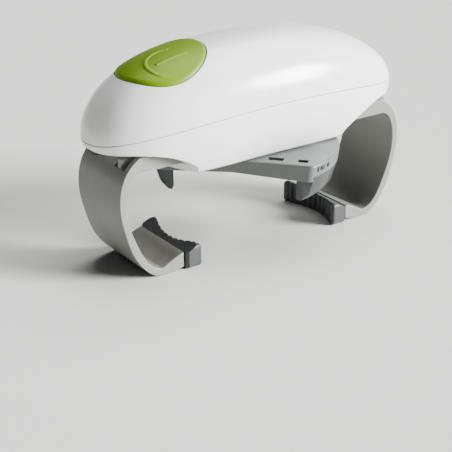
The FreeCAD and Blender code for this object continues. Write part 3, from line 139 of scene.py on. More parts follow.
def ranged(tree: NodeTree, value: NodeSocket, span: tuple[float, float],
           onto: tuple[float, float] = (0.0, 1.0)) -> NodeSocket:
    """Maps one span of a value onto another, held at both ends.

    Args:
        tree: The node tree.
        value: The socket that is mapped.
        span: The values that give the two ends.
        onto: The results at the two ends.

    Returns:
        The socket of the result.
    """
    node = add_node(tree, "ShaderNodeMapRange", Value=value, From_Min=span[0], From_Max=span[1],
                    To_Min=onto[0], To_Max=onto[1])
    return node.outputs["Result"]


def reckon(tree: NodeTree, operation: str, *values: object) -> NodeSocket:
    """Adds a step of arithmetic.

    Args:
        tree: The node tree.
        operation: The math node's operation.
        *values: Its inputs in order, as sockets or numbers.

    Returns:
        The socket of the result.
    """
    node = add_node(tree, "ShaderNodeMath", {"operation": operation})
    for socket, value in zip(node.inputs, values):
        put(tree, socket, value)
    return node.outputs["Value"]


# ---------------------------------------------------------------- finishes

@dataclass(frozen=True)
class Finish:
    """A moulded or machined surface with fine grain, cloudy gloss and slightly uneven colour.

    Two hex tones, roughness and grain are given for each finish; spans are of the noise's value.
    """

    name: str
    colour: str
    deep: str
    roughness: float
    grain_mm: float
    grain_depth: float = 0.08
    metallic: float = 0.0
    ior: float = 1.5
    coat: float = 0.0
    sheen: float = 0.0
    subsurface: float = 0.0
    cloud_mm: float = 28.0
    cloud_layers: tuple = (3.0, 0.55)    # number of finer layers, and the strength of each
    grain_layers: tuple = (2.0, 0.6)
    gloss_swing: float = 0.06
    tone_span: tuple = (0.35, 0.75)
    gloss_span: tuple = (0.3, 0.7)
    grain_height: float = 0.25
    coat_roughness: float = 0.12
    scatter_m: tuple = (0.004, 0.004, 0.003)

    @staticmethod
    def noise(tree: NodeTree, place: NodeSocket, size_mm: float, detail: float,
              roughness: float) -> NodeSocket:
        """Adds cloud-like noise.

        Args:
            tree: The node tree.
            place: The coordinates.
            size_mm: Size of a cloud in millimetres.
            detail: Number of finer layers.
            roughness: Strength of each finer layer.

        Returns:
            The socket of its value.
        """
        node = add_node(tree, "ShaderNodeTexNoise", Vector=place, Scale=1 / (size_mm * MM), Detail=detail,
                        Roughness=roughness)
        return node.outputs["Fac"]

    def make(self) -> Material:
        """Builds the material: cloud noise mixes two tones and varies the gloss, fine noise gives the grain.

        Returns:
            The material.
        """
        material = bpy.data.materials.new(self.name)
        material.use_nodes = True
        tree = material.node_tree
        place = add_node(tree, "ShaderNodeTexCoord").outputs["Object"]
        cloud = self.noise(tree, place, self.cloud_mm, *self.cloud_layers)
        grain = self.noise(tree, place, self.grain_mm, *self.grain_layers)
        tone = mixed(tree, ranged(tree, cloud, self.tone_span), linear(self.colour), linear(self.deep))
        swing = self.gloss_swing / 2
        gloss = ranged(tree, cloud, self.gloss_span, (self.roughness - swing, self.roughness + swing))
        bump = add_node(tree, "ShaderNodeBump", Strength=self.grain_depth, Height=grain,
                        Distance=self.grain_mm * MM * self.grain_height)
        looks = {"Base Color": self.paint(tree, tone, place), "Roughness": gloss,
                 "Normal": bump.outputs["Normal"], "Metallic": self.metallic, "IOR": self.ior,
                 "Coat Weight": self.coat, "Coat Roughness": self.coat_roughness,
                 "Sheen Weight": self.sheen, "Subsurface Weight": self.subsurface,
                 "Subsurface Radius": self.scatter_m}
        for name, value in looks.items():
            put(tree, tree.nodes["Principled BSDF"].inputs[name], value)
        return material

    def paint(self, tree: NodeTree, colour: NodeSocket, place: NodeSocket) -> NodeSocket:
        """The colour as it is; a finish with a pattern lays it over this."""
        return colour


@dataclass(frozen=True)
class BandedFinish(Finish):
    """A finish whose colour changes at set places along one axis, such as the wrap of a battery cell.

    Each band is its two ends in millimetres and its hex colour.
    """

    axis: str = "X"
    bands: tuple = ()

    def paint(self, tree: NodeTree, colour: NodeSocket, place: NodeSocket) -> NodeSocket:
        """Puts a colour over the base wherever the coordinate lies inside a band.

        Args:
            tree: The node tree.
            colour: The plain colour.
            place: The coordinates.

        Returns:
            The socket of the banded colour.
        """
        along = add_node(tree, "ShaderNodeSeparateXYZ", Vector=place).outputs[self.axis]
        for low, high, tint in self.bands:
            inside = reckon(tree, "COMPARE", along, (low + high) / 2 * MM, (high - low) / 2 * MM)
            colour = mixed(tree, inside, colour, linear(tint))
        return colour


@dataclass(frozen=True)
class TracedBoard(Finish):
    """Glass-fibre laminate under green solder mask: a blocky cell pattern stands for copper runs."""

    run_mm: float = 4.0
    uneven: float = 0.35
    run_span: tuple = (0.06, 0.09)
    run_share: float = 0.55
    copper: str = "4F9A55"

    def paint(self, tree: NodeTree, colour: NodeSocket, place: NodeSocket) -> NodeSocket:
        """Lightens the mask where the edges of the cells run, as copper does under it.

        Args:
            tree: The node tree.
            colour: The plain colour.
            place: The coordinates.

        Returns:
            The socket of the traced colour.
        """
        cells = add_node(tree, "ShaderNodeTexVoronoi", {"feature": "DISTANCE_TO_EDGE"}, Vector=place,
                         Scale=1 / (self.run_mm * MM), Randomness=self.uneven)
        line = ranged(tree, cells.outputs["Distance"], self.run_span, (self.run_share, 0.0))
        return mixed(tree, line, colour, linear(self.copper))


class Coat(Enum):
    """Every finish on the object, named for what the surface really is."""

    # A clean white shell: broad soft highlights under a faint clear gloss, hardly any grain.
    HOUSING = Finish("polished_white_abs", "EDEEEC", "E6E8E6", 0.24, 0.6, 0.03, coat=0.25, ior=1.53)
    # Spring green that stays deep: the satin keeps the sky's reflection weak, a little light goes in.
    BUTTON = Finish("satin_green_abs", "688800", "618000", 0.46, 0.5, 0.05, ior=1.36, subsurface=0.05)
    # Warm mid grey with a fine spark texture, so that the arms look dull beside the housing.
    ARM = Finish("spark_textured_grey_abs", "7D7D77", "75756F", 0.40, 0.35, 0.10)
    # Dark grey-green rubber: no sharp highlight, and a thin dusty sheen at grazing angles.
    PAD = Finish("grey_green_tpe", "363B3A", "2F3433", 0.50, 0.4, 0.16, sheen=0.12)
    # Cool mid grey, smoother than the arms, with a clear highlight along the tray's edges.
    TURNTABLE = Finish("smooth_grey_abs", "5F6361", "585C59", 0.34, 0.5, 0.05)
    # Charcoal with a cloudy gloss, darker than the tray above it.
    JAW = Finish("charcoal_glass_filled_nylon", "303535", "292F2E", 0.34, 0.45, 0.10)
    # Creamy and slightly see-through, as unpainted gears are.
    NYLON = Finish("natural_nylon", "E2DFD0", "D8D4C2", 0.45, 0.4, 0.08, subsurface=0.05)
    # Yellow metal, the one warm colour among the works.
    BRASS = Finish("turned_brass", "D2AE62", "C49F55", 0.26, 0.2, 0.08, metallic=1.0)
    # Plain dark structure that the gears stand out from.
    DECK = Finish("dark_grey_polycarbonate", "5A5C5E", "505254", 0.45, 0.5, 0.08)
    # Nearly black with a waxy, blurred highlight.
    CRADLE = Finish("black_polypropylene", "1D1E1E", "151616", 0.48, 0.5, 0.10)
    # Black, harder and glossier than the cradle.
    SWITCH = Finish("black_switch_resin", "1A1A1A", "131313", 0.38, 0.3, 0.08)
    # Bright grey metal that mirrors its surroundings.
    STEEL = Finish("bright_spring_steel", "B9BBBC", "A9ABAD", 0.24, 0.2, 0.06, metallic=1.0)
    # Paler, cloudier metal than the springs.
    ZINC = Finish("zinc_plated_steel", "AFB0AD", "9FA09D", 0.32, 0.3, 0.08, metallic=1.0)
    # Dark blue film with a grey waist and bare metal ends, glossy like shrink wrap.
    CELL = BandedFinish("shrink_wrapped_cell", "2C3A4A", "263340", 0.28, 0.5, 0.03, coat=0.3,
                        bands=((24.0, 25.4, "B8B9B7"), (62.0, 73.4, "8A9096"), (73.4, 75.4, "B8B9B7")))
    # Deep green lacquer with lighter runs under it.
    BOARD = TracedBoard("solder_masked_laminate", "1E5A34", "194F2D", 0.30, 0.3, 0.05, coat=0.3)


_made: dict[Coat, Material] = {}


def coat(kind: Coat) -> Material:
    """Gives a finish's material, built once.

    Args:
        kind: The finish.

    Returns:
        Its material.
    """
    if kind not in _made:
        _made[kind] = kind.value.make()
    return _made[kind]


# ---------------------------------------------------------------- mesh helpers

@dataclass
class Skin:
    """A growing set of vertices and faces, in millimetres, that several grids are joined into."""

    points: list = field(default_factory=list)
    faces: list = field(default_factory=list)
    count: int = 0

    def grid(self, points: np.ndarray, keep: np.ndarray | None = None, wrap: bool = False) -> None:
        """Adds a grid of points as quads.

        Args:
            points: Array of rows, columns and three coordinates.
            keep: Which cells are filled, or None for all.
            wrap: Joins the last column to the first.
        """
        rows, columns = points.shape[:2]
        index = np.arange(rows * columns).reshape(rows, columns) + self.count
        if wrap:
            index = np.concatenate([index, index[:, :1]], axis=1)
        quads = np.stack([index[:-1, :-1], index[:-1, 1:], index[1:, 1:], index[1:, :-1]], axis=-1)
        if keep is not None:
            quads = quads[keep]
        self.faces.append(quads.reshape(-1, 4))
        self.points.append(points.reshape(-1, 3))
        self.count += rows * columns

    def piece(self, name: str, sharp_degrees: float = 35.0) -> Object:
        """Makes the mesh object, welds its seams and poles and shades it smooth up to an angle.

        Args:
            name: The piece's name.
            sharp_degrees: Edges that turn more than this stay crisp.

        Returns:
            The object, at the origin.
        """
        points = np.concatenate(self.points) * MM
        faces = np.concatenate(self.faces)
        mesh = bpy.data.meshes.new(name)
        mesh.from_pydata(points.tolist(), [], faces.tolist())
        work = bmesh.new()
        work.from_mesh(mesh)
        bmesh.ops.remove_doubles(work, verts=work.verts, dist=WELD_MM * MM)
        bmesh.ops.dissolve_degenerate(work, edges=work.edges, dist=WELD_MM * MM / 2)
        bmesh.ops.recalc_face_normals(work, faces=work.faces)
        work.to_mesh(mesh)
        work.free()
        shade(mesh, sharp_degrees)
        return placed(name, mesh)


def placed(name: str, data: ID) -> Object:
    """Puts mesh, light or camera data into the scene as an object at the origin."""
    thing = bpy.data.objects.new(name, data)
    bpy.context.scene.collection.objects.link(thing)
    return thing


def points_of(*parts: np.ndarray | float) -> np.ndarray:
    """Points from their coordinates, which are arrays or numbers that stretch to one shape."""
    return np.stack(np.broadcast_arrays(*parts), axis=-1)


def revolve(profile: np.ndarray, count: int) -> np.ndarray:
    """Carries a (radius, height) profile once round Z.

    Args:
        profile: Rows of radius and height, in millimetres.
        count: Columns round the turn.

    Returns:
        A grid with one row for each profile point; its last column is next to its first.
    """
    angle = np.linspace(0, 2 * np.pi, count, endpoint=False)
    return points_of(profile[:, :1] * np.cos(angle), profile[:, :1] * np.sin(angle), profile[:, 1:])


def shade(mesh: Mesh, sharp_degrees: float) -> None:
    """Shades a mesh smooth, with edges that turn by more than an angle left crisp.

    Args:
        mesh: The mesh.
        sharp_degrees: The angle.
    """
    mesh.shade_smooth()
    mesh.set_sharp_from_angle(angle=math.radians(sharp_degrees))
    mesh.update()


def thicken(thing: Object, wall_mm: float, shares: np.ndarray | None = None) -> None:
    """Gives an open skin its wall, inwards.

    Args:
        thing: The open skin, with its faces outwards.
        wall_mm: Full thickness of the wall.
        shares: Share of the full wall at each vertex, or None for all of it everywhere.
    """
    wall = thing.modifiers.new("wall", "SOLIDIFY")
    wall.thickness = wall_mm * MM
    wall.offset = -1.0
    wall.use_even_offset = False
    wall.use_quality_normals = True
    if shares is not None:
        shares = np.round(shares, 2)
        group = thing.vertex_groups.new(name="wall")
        for level in np.unique(shares):
            group.add(np.flatnonzero(shares == level).tolist(), float(level), "REPLACE")
        wall.vertex_group = group.name


def vertices(thing: Object) -> np.ndarray:
    """Reads a piece's vertices.

    Args:
        thing: The piece.

    Returns:
        Rows of X, Y and Z in millimetres.
    """
    places = np.empty(len(thing.data.vertices) * 3)
    thing.data.vertices.foreach_get("co", places)
    return places.reshape(-1, 3) / MM


def outward(thing: Object, centre: tuple[float, float, float]) -> None:
    """Turns an open skin's faces away from a point inside it.

    Args:
        thing: The skin.
        centre: The point, in millimetres.
    """
    middle = Vector(centre) * MM
    if sum(f.area * f.normal.dot(f.center - middle) for f in thing.data.polygons) < 0:
        thing.data.flip_normals()


def dress(thing: Object, kind: Coat, body: str, slot: str, *nodes: str) -> None:
    """Paints a finished piece, rides it on its body and hides the CAD nodes that it stands for.

    Args:
        thing: The piece.
        kind: Its finish.
        body: The CAD body that carries it.
        slot: The record's material slot; not used.
        *nodes: CAD nodes that it stands for.
    """
    thing.data.materials.clear()
    thing.data.materials.append(coat(kind))
    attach(thing, body)
    if nodes:
        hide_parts(*nodes)
    LOG.info("%s rides on %s", thing.name, body)


def softened(node: str, name: str, edge_mm: float, across: float = 0.0, segments: int = 4,
             crease: float = 32.0, sharp: float | None = None) -> Object:
    """Copies a CAD node, merges its loose triangles and rounds the outline of its flat faces.

    Only the edges between a chosen flat face and another face are rounded, so fine teeth and grooves keep
    their shape and don't limit the width of the rounding.

    Args:
        node: The CAD node.
        name: The piece's name.
        edge_mm: Width of the rounding.
        across: Half the piece's width in millimetres, to round the outline of its two flat sides along Y,
            or zero to round the outline of its level faces.
        segments: Steps across the rounding.
        crease: Edges that turn by more than this are rounded, in degrees.
        sharp: Edges that turn by more than this stay crisp, or None for the same angle as the crease.

    Returns:
        The new piece.
    """
    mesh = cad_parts[node].data.copy()
    mesh.name = name
    thing = placed(name, mesh)
    work = bmesh.new()
    work.from_mesh(mesh)
    bmesh.ops.remove_doubles(work, verts=work.verts, dist=CAD_WELD_MM * MM)
    bmesh.ops.dissolve_limit(work, angle_limit=math.radians(CAD_FLAT_DEGREES), verts=work.verts,
                             edges=work.edges)
    work.normal_update()
    weight = work.edges.layers.float.new("bevel_weight_edge")
    axis = 1 if across else 2
    for edge in work.edges:
        faces = edge.link_faces
        if len(faces) != 2 or edge.calc_face_angle_signed(0.0) < math.radians(crease):
            continue
        flat = any(abs(f.normal[axis]) > SIDE_NORMAL for f in faces)
        outer = not across or min(abs(v.co.y) for v in edge.verts) > (across - SIDE_MARGIN_MM) * MM
        edge[weight] = 1.0 if flat and outer else 0.0
    work.to_mesh(mesh)
    work.free()
    shade(mesh, crease if sharp is None else sharp)
    rounding = thing.modifiers.new("edge", "BEVEL")
    rounding.width = edge_mm * MM
    rounding.segments = segments
    rounding.limit_method = "WEIGHT"
    rounding.harden_normals = True
    rounding.use_clamp_overlap = True
    return thing


# ---------------------------------------------------------------- housing

@dataclass(frozen=True)
class End:
    """How one end of the housing closes: powers of its plan and dome, and the swell of its belly."""

    plan: float
    dome: float
    swell: float


@dataclass
class HousingForm:
    """The housing's outer form in millimetres, as formulas of the place along X.

    The half-width and the rise of the dome are superellipses of the place, the seam is a parabola that
    drops towards the ends, the cross-section above the seam is a superellipse and below it an ellipse.
    """

    half_length: float = 102.0
    half_width: float = 36.6
    seam_top: float = 88.2
    seam_drop: float = 11.7
    dome_rise: float = 32.5
    belly: float = 45.0
    plan_root: float = 2.2
    dome_root: float = 2.05
    square: float = 2.3
    belly_power: float = 4.0
    belly_root: float = 0.9
    button_end: End = End(2.8, 4.3, 0.15)
    plain_end: End = End(1.75, 2.45, 0.6)
    lip: float = 56.4
    tray: float = 72.7
    lip_radius: float = 42.0
    lip_length: float = 116.0
    foot: tuple = (2.5, 3.6)
    flare: tuple = (13.5, 11.4)
    reach: float = 34.0

    def share(self, x: np.ndarray) -> np.ndarray:
        """The place as a share of the half-length."""
        return np.clip(np.abs(x) / self.half_length, 0, 1)

    def pick(self, x: np.ndarray, name: str) -> np.ndarray:
        """The value of the end that each place lies on."""
        return np.where(x < 0, getattr(self.button_end, name), getattr(self.plain_end, name))

    def wide(self, x: np.ndarray) -> np.ndarray:
        """Half-width at the seam: half_width (1 - share^plan)^(1/plan_root)."""
        return self.half_width * (1 - self.share(x) ** self.pick(x, "plan")) ** (1 / self.plan_root)

    def rise(self, x: np.ndarray) -> np.ndarray:
        """Height of the dome over the seam: dome_rise (1 - share^dome)^(1/dome_root)."""
        return self.dome_rise * (1 - self.share(x) ** self.pick(x, "dome")) ** (1 / self.dome_root)

    def deep(self, x: np.ndarray) -> np.ndarray:
        """Depth of the belly form under the seam: belly (1 + swell share^2) (1 - share^power)^root."""
        part = self.share(x)
        closed = (1 - part ** self.belly_power) ** self.belly_root
        return self.belly * (1 + self.pick(x, "swell") * part ** 2) * closed

    def seam(self, x: np.ndarray) -> np.ndarray:
        """Height of the seam: a parabola along X."""
        return self.seam_top - self.seam_drop * self.share(x) ** 2

    def dome(self, x: np.ndarray, y: np.ndarray) -> np.ndarray:
        """Height of the dome over a plan point: seam + rise (1 - |y/wide|^square)^(1/square)."""
        across = np.clip(np.abs(y) / np.maximum(self.wide(x), TINY), 0, 1)
        return self.seam(x) + self.rise(x) * (1 - across ** self.square) ** (1 / self.square)

    def side(self, x: np.ndarray, z: np.ndarray) -> np.ndarray:
        """Half-width of the belly at a height below the seam, from the ellipse of that section."""
        return self.wide(x) * np.sqrt(1 - self.fall(x, z) ** 2)

    def fall(self, x: np.ndarray, z: np.ndarray) -> np.ndarray:
        """A height below the seam as a share of the belly's depth, held between 0 and 1."""
        return np.clip((self.seam(x) - z) / np.maximum(self.deep(x), TINY), 0, 1)

    def end_axis(self) -> float:
        """Distance from mid length of the upright axis that a bowl end turns about."""
        return self.lip_length / 2 - self.lip_radius

    def flare_radius(self, z: np.ndarray) -> np.ndarray:
        """Radius of a bowl end: a straight foot, then the arc through three points.

        Args:
            z: Heights in millimetres.

        Returns:
            The radius at each height.
        """
        p = np.array([self.lip_radius + self.foot[0], self.lip + self.foot[1]])
        q = np.array([self.lip_radius + self.flare[0], self.lip + self.flare[1]])
        r = np.array([self.lip_radius + self.reach, self.tray])
        middle = np.linalg.solve(2 * np.array([q - p, r - p]), np.array([q @ q - p @ p, r @ r - p @ p]))
        radius = np.linalg.norm(p - middle)
        arc = middle[0] - np.sqrt(np.maximum(radius ** 2 - (z - middle[1]) ** 2, 0))
        straight = self.lip_radius + self.foot[0] * (z - self.lip) / self.foot[1]
        return np.where(z < p[1], straight, arc)


def ramp(inside: np.ndarray, soft: float) -> np.ndarray:
    """A smooth step from 0 to 1 as a distance goes from -soft to +soft: 3 t^2 - 2 t^3."""
    step = np.clip((inside + soft) / (2 * soft), 0, 1)
    return step * step * (3 - 2 * step)


def solve(test: Callable[[np.ndarray], np.ndarray], low: np.ndarray, high: np.ndarray) -> np.ndarray:
    """Halves an interval until the test changes sign, for whole arrays at once.

    Args:
        test: Function of an array; negative on the low side.
        low: Lower ends.
        high: Upper ends.

    Returns:
        The places where the test is zero.
    """
    low, high = np.array(low, float), np.array(high, float)
    for _ in range(HALVINGS):
        middle = (low + high) / 2
        under = test(middle) < 0
        low, high = np.where(under, middle, low), np.where(under, high, middle)
    return (low + high) / 2


@dataclass
class Housing:
    """The two covers, the battery door and the floor of the bowl; sizes in millimetres."""

    form: HousingForm = field(default_factory=HousingForm)
    tip: float = 102.0
    middle: tuple = (0.0, 0.0, 80.0)
    wall: float = 2.0
    least_wall: tuple = (0.03, 0.08)      # shares of the wall at a nose and at the button's rim
    nose_fade: float = 16.0
    # Seam: its gap, the rounding of its edges, and each step of that edge (inset, share of the rounding).
    gap: float = 0.3
    edge: float = 0.35
    edge_steps: tuple = ((0.0, 1.0), (0.06, 0.4), (0.22, 0.08), (0.45, 0.0), (2.2, 0.0))
    # Dome grid: columns between the cut-outs along X, rows between its lines over the dome, in degrees.
    station_counts: tuple = (34, 56, 30, 40, 40)
    row_counts: tuple = (16, 44, 44, 18, 6)
    front_lines: tuple = (0.0, 25.0, 90.0)
    rear_lines: tuple = (25.0, 4.0)
    rear_blend: float = 15.0
    # Button opening: its ellipse, the block of the grid round it, and the collar (outwards, down).
    button_x: float = -55.3
    opening: tuple = (24.8, 24.7)
    patch: tuple = (-86.0, -24.0)
    patch_rows: int = 15
    patch_crowd: float = 0.8
    patch_margin: float = 0.8
    collar: tuple = ((0.4, 0.0), (0.16, 0.04), (0.04, 0.14), (0.0, 0.35), (0.0, 3.0), (0.0, 7.5))
    collar_reach: float = 0.45
    collar_full: float = 3.2
    # Battery door: its edges along X and in height (limits are shares of the dome's rise), its grid, its
    # rim (down its sides) and its ribs.
    door: tuple = (23.55, 75.55)
    door_z: tuple = (89.0, 103.0)
    door_limits: tuple = (0.75, 0.90)
    door_gap: float = 0.25
    door_wall: float = 1.2
    door_grid: tuple = (240, 64)
    door_shares: tuple = (0.01, 0.97)
    door_rim: tuple = (0.0, 0.25, 1.9)
    door_axis: float = 86.0
    rib_start: float = 49.55
    rib_pitch: float = 2.6
    rib_count: int = 7
    rib_half: float = 0.6
    rib_height: float = 0.4
    rib_z: tuple = (96.0, 100.6)
    rib_soft: tuple = (0.12, 0.3)
    # Bowl: the arm slots, rows below, in and above them, columns beside them, and other grid counts.
    slot_half: float = 25.5
    slot_z: tuple = (61.85, 71.25)
    flare_rows: tuple = (7, 12, 6)
    least_bearing: float = 0.02
    slot_columns: int = 10
    flare_columns: int = 8
    strip_rows: int = 7
    nose_columns: int = 8
    middle_columns: int = 70
    wall_rows: int = 30
    # Bowl floor: each ring from the lip inwards (inset, rise), what the insets scale with, and the hub.
    floor_rings: tuple = ((0.02, 0.22), (0.12, 0.06), (0.35, 0.0), (2.0, 0.0), (2.2, 0.2), (2.2, 1.0))
    floor_half: tuple = (58.0, 25.9)
    floor_rows: int = 12
    arc_columns: int = 33
    flank_columns: int = 40
    hub: float = 9.06
    hub_rise: float = 3.4

    def stations(self) -> np.ndarray:
        """Places along X, closer together towards the noses, with the cut-outs' edges among them.

        Returns:
            The places from nose to nose.
        """
        marks = np.array([-self.tip, *self.patch, *self.door, self.tip]) / self.form.half_length
        angles = np.arcsin(np.clip(marks, -1, 1))
        runs = [np.linspace(a, b, n, endpoint=False)
                for a, b, n in zip(angles, angles[1:], self.station_counts)]
        return self.form.half_length * np.sin(np.append(np.concatenate(runs), angles[-1]))

    def level_angle(self, x: np.ndarray, z: float, most: float) -> np.ndarray:
        """The section angle at which the dome passes a height.

        Args:
            x: Places along X.
            z: The height.
            most: Largest share of the dome's rise that the height may be.

        Returns:
            The angle at each place, in radians.
        """
        part = (z - self.form.seam(x)) / np.maximum(self.form.rise(x), TINY)
        return np.arcsin(np.clip(part, self.door_shares[0], most) ** (self.form.square / 2))

    def dome_grid(self) -> tuple[np.ndarray, np.ndarray, list[int]]:
        """The dome's grid: sections along X, and section angles from the front seam over to the rear seam.

        Returns:
            The points, the stations, and the row numbers of the patch and of the door's two edges.
        """
        form, x = self.form, self.stations()
        mix = ramp(x - self.rear_blend / 2, self.rear_blend / 2)
        rear = [np.pi - ((1 - mix) * np.radians(line) + mix * self.level_angle(x, z, most))
                for line, z, most in zip(self.rear_lines, self.door_z[::-1], self.door_limits[::-1])]
        lines = [np.full_like(x, np.radians(a)) for a in self.front_lines] + rear + [np.full_like(x, np.pi)]
        runs = [a[:, None] + (b - a)[:, None] * np.linspace(0, 1, n, endpoint=False)
                for a, b, n in zip(lines, lines[1:], self.row_counts)]
        angle = np.concatenate(runs + [lines[-1][:, None]], axis=1)
        power = 2 / form.square
        across = -np.sign(np.cos(angle)) * np.abs(np.cos(angle)) ** power
        height = np.hypot(form.rise(x)[:, None] * np.abs(np.sin(angle)) ** power, self.gap / 2 + self.edge)
        points = points_of(x[:, None], form.wide(x)[:, None] * across, form.seam(x)[:, None] + height)
        rows = np.cumsum([0, *self.row_counts])
        return points, x, [int(rows[k]) for k in (1, 3, 4)]

    def rolled_edge(self, x: np.ndarray, up: float) -> np.ndarray:
        """The seam's rounded edge and return flange, one ring of points all round for each step inwards.

        Args:
            x: Stations from nose to nose.
            up: 1 above the seam and -1 below it.

        Returns:
            The rings; each is the seam's plan drawn in by a small step.
        """
        form = self.form
        loop = np.concatenate([x, x[::-1]])
        side = np.repeat([-1, 1], x.size)
        return np.array([points_of(loop * (1 - inset / form.half_length),
                                   side * form.wide(loop) * (1 - inset / form.half_width),
                                   form.seam(loop) + up * (self.gap / 2 + share * self.edge))
                         for inset, share in self.edge_steps])

    def upper_cover(self) -> None:
        """The dome, open for the button and the battery door, with a collar down into the button opening."""
        points, x, (patch_row, door_top, door_low) = self.dome_grid()
        first, last, door_first, door_last = [int(np.argmin(np.abs(x - place)))
                                              for place in (*self.patch, *self.door)]
        keep = np.ones((points.shape[0] - 1, points.shape[1] - 1), bool)
        keep[first:last, patch_row:door_top] = False
        keep[door_first:door_last, door_top:door_low] = False
        skin = Skin()
        skin.grid(points, keep)
        skin.grid(self.rolled_edge(x, 1.0), wrap=True)
        rim = np.concatenate([points[first:last, patch_row], points[last, patch_row:door_top],
                              points[last:first:-1, door_top], points[first, door_top:patch_row:-1]])
        skin.grid(self.button_patch(rim), wrap=True)
        thing = skin.piece("upper_cover_shell")
        outward(thing, self.middle)
        place = vertices(thing)
        half = np.array(self.opening) + self.collar_reach
        collar = np.linalg.norm((place[:, :2] - [self.button_x, 0.0]) / half, axis=1) < 1
        depth = self.form.dome(place[:, 0], place[:, 1]) - place[:, 2]
        near = np.clip(depth / self.collar_full, self.least_wall[1], 1)
        thicken(thing, self.wall, np.where(collar, near, self.nose_shares(place)))
        dress(thing, Coat.HOUSING, "housing", "housing_white", "upper_cover")

    def nose_shares(self, place: np.ndarray) -> np.ndarray:
        """Share of the wall at each place: it grows with the distance from the nose, up to the full wall."""
        return np.clip((self.tip - np.abs(place[:, 0])) / self.nose_fade, self.least_wall[0], 1.0)

    def button_patch(self, rim: np.ndarray) -> np.ndarray:
        """The dome between a block of its grid and the button opening, then the rim's roll and the collar.

        Each column runs straight in plan from a point of the block's edge to the ellipse point on the same
        bearing; heights come from the dome's formula.

        Args:
            rim: The points of the block's edge, in order.

        Returns:
            A closed grid, from that edge to the collar's foot.
        """
        centre, half = np.array([self.button_x, 0.0]), np.array(self.opening)
        bearing = (rim[:, :2] - centre) / half
        bearing /= np.linalg.norm(bearing, axis=1, keepdims=True)
        ellipse = centre + bearing * (half + self.patch_margin)
        steps = [(rim[:, :2] * (1 - part) + ellipse * part, 0.0)
                 for part in np.linspace(0, 1, self.patch_rows) ** self.patch_crowd]
        steps += [(centre + bearing * (half + out), drop) for out, drop in self.collar]
        rows = [np.column_stack([plan, self.form.dome(plan[:, 0], plan[:, 1]) - drop])
                for plan, drop in steps]
        rows[0] = rim
        return np.array(rows)

    def rib_share(self, x: np.ndarray, z: np.ndarray) -> np.ndarray:
        """How far the finger ribs stand out: 1 on a rib, 0 beside it, with soft flanks.

        Args:
            x: Places along X, one row each.
            z: Heights of the door's points.

        Returns:
            The share at each point.
        """
        place = x - self.rib_start
        nearest = np.clip(np.round(place / self.rib_pitch), 0, self.rib_count - 1) * self.rib_pitch
        middle, half = np.mean(self.rib_z), np.ptp(self.rib_z) / 2
        return (ramp(self.rib_half - np.abs(place - nearest), self.rib_soft[0])
                * ramp(half - np.abs(z - middle), self.rib_soft[1]))

    def battery_door(self) -> None:
        """The door: a patch of the same dome with rounded edges and a ribbed finger grip near its edge."""
        form, gap = self.form, self.door_gap
        columns, rows = self.door_grid
        x = np.linspace(self.door[0] + gap, self.door[1] - gap, columns)
        part = np.linspace(0, 1, rows)
        low, high = [self.level_angle(x, z, self.door_shares[1])[:, None]
                     for z in (self.door_z[0] + gap, self.door_z[1] - gap)]
        angle = low * (1 - part) + high * part
        power = 2 / form.square
        x = x[:, None]
        points = points_of(x, form.wide(x) * np.cos(angle) ** power,
                           form.seam(x) + form.rise(x) * np.sin(angle) ** power)
        away = points - [0.0, 0.0, self.door_axis]
        away[..., 0] = 0
        away /= np.linalg.norm(away, axis=-1, keepdims=True)
        points = points + away * (self.rib_share(x, points[..., 2]) * self.rib_height)[..., None]
        skin = Skin()
        skin.grid(points)
        ring = np.concatenate([points[:-1, 0], points[-1, :-1], points[:0:-1, -1], points[0, :0:-1]])
        skin.grid(np.array([ring - [0, drop, 0] for drop in self.door_rim]), wrap=True)
        thing = skin.piece("battery_door_panel")
        outward(thing, (self.door[0], 0, self.door_axis))
        thicken(thing, self.door_wall)
        dress(thing, Coat.HOUSING, "housing", "housing_white", "battery_door")

    def half_columns(self, side: int) -> tuple[np.ndarray, np.ndarray, np.ndarray]:
        """The flare of one bowl end.

        The outer edge is where the revolved flare meets the belly. The columns keep one line on the slot's
        side, and where the slot is as wide as the flare, the columns beyond that line have no width.

        Args:
            side: -1 or 1 for the end towards -X or +X.

        Returns:
            Heights, the X of the outer edge, and column angles for each height.
        """
        form, (low, high) = self.form, self.slot_z
        below, among, above = self.flare_rows
        z = np.concatenate([np.linspace(form.lip, low, below)[:-1], np.linspace(low, high, among)[:-1],
                            np.linspace(high, form.tray, above)])
        radius = form.flare_radius(z)
        axis = form.end_axis()
        reach = solve(lambda a: radius * np.sin(a) - form.side(side * (axis + radius * np.cos(a)), z),
                      np.full_like(z, self.least_bearing), np.full_like(z, math.pi / 2))
        slot = np.minimum(np.arcsin(self.slot_half / radius), reach)[:, None]
        steps = np.arange(self.slot_columns + self.flare_columns + 1)
        near = slot * steps / self.slot_columns
        far = slot + (reach[:, None] - slot) * (steps - self.slot_columns) / self.flare_columns
        columns = np.where(steps <= self.slot_columns, near, far)
        top = int(np.argmin(np.abs(z - high)))
        columns[top:] = reach[top:, None] * (columns[top] / reach[top])
        return z, axis + radius * np.cos(reach), columns

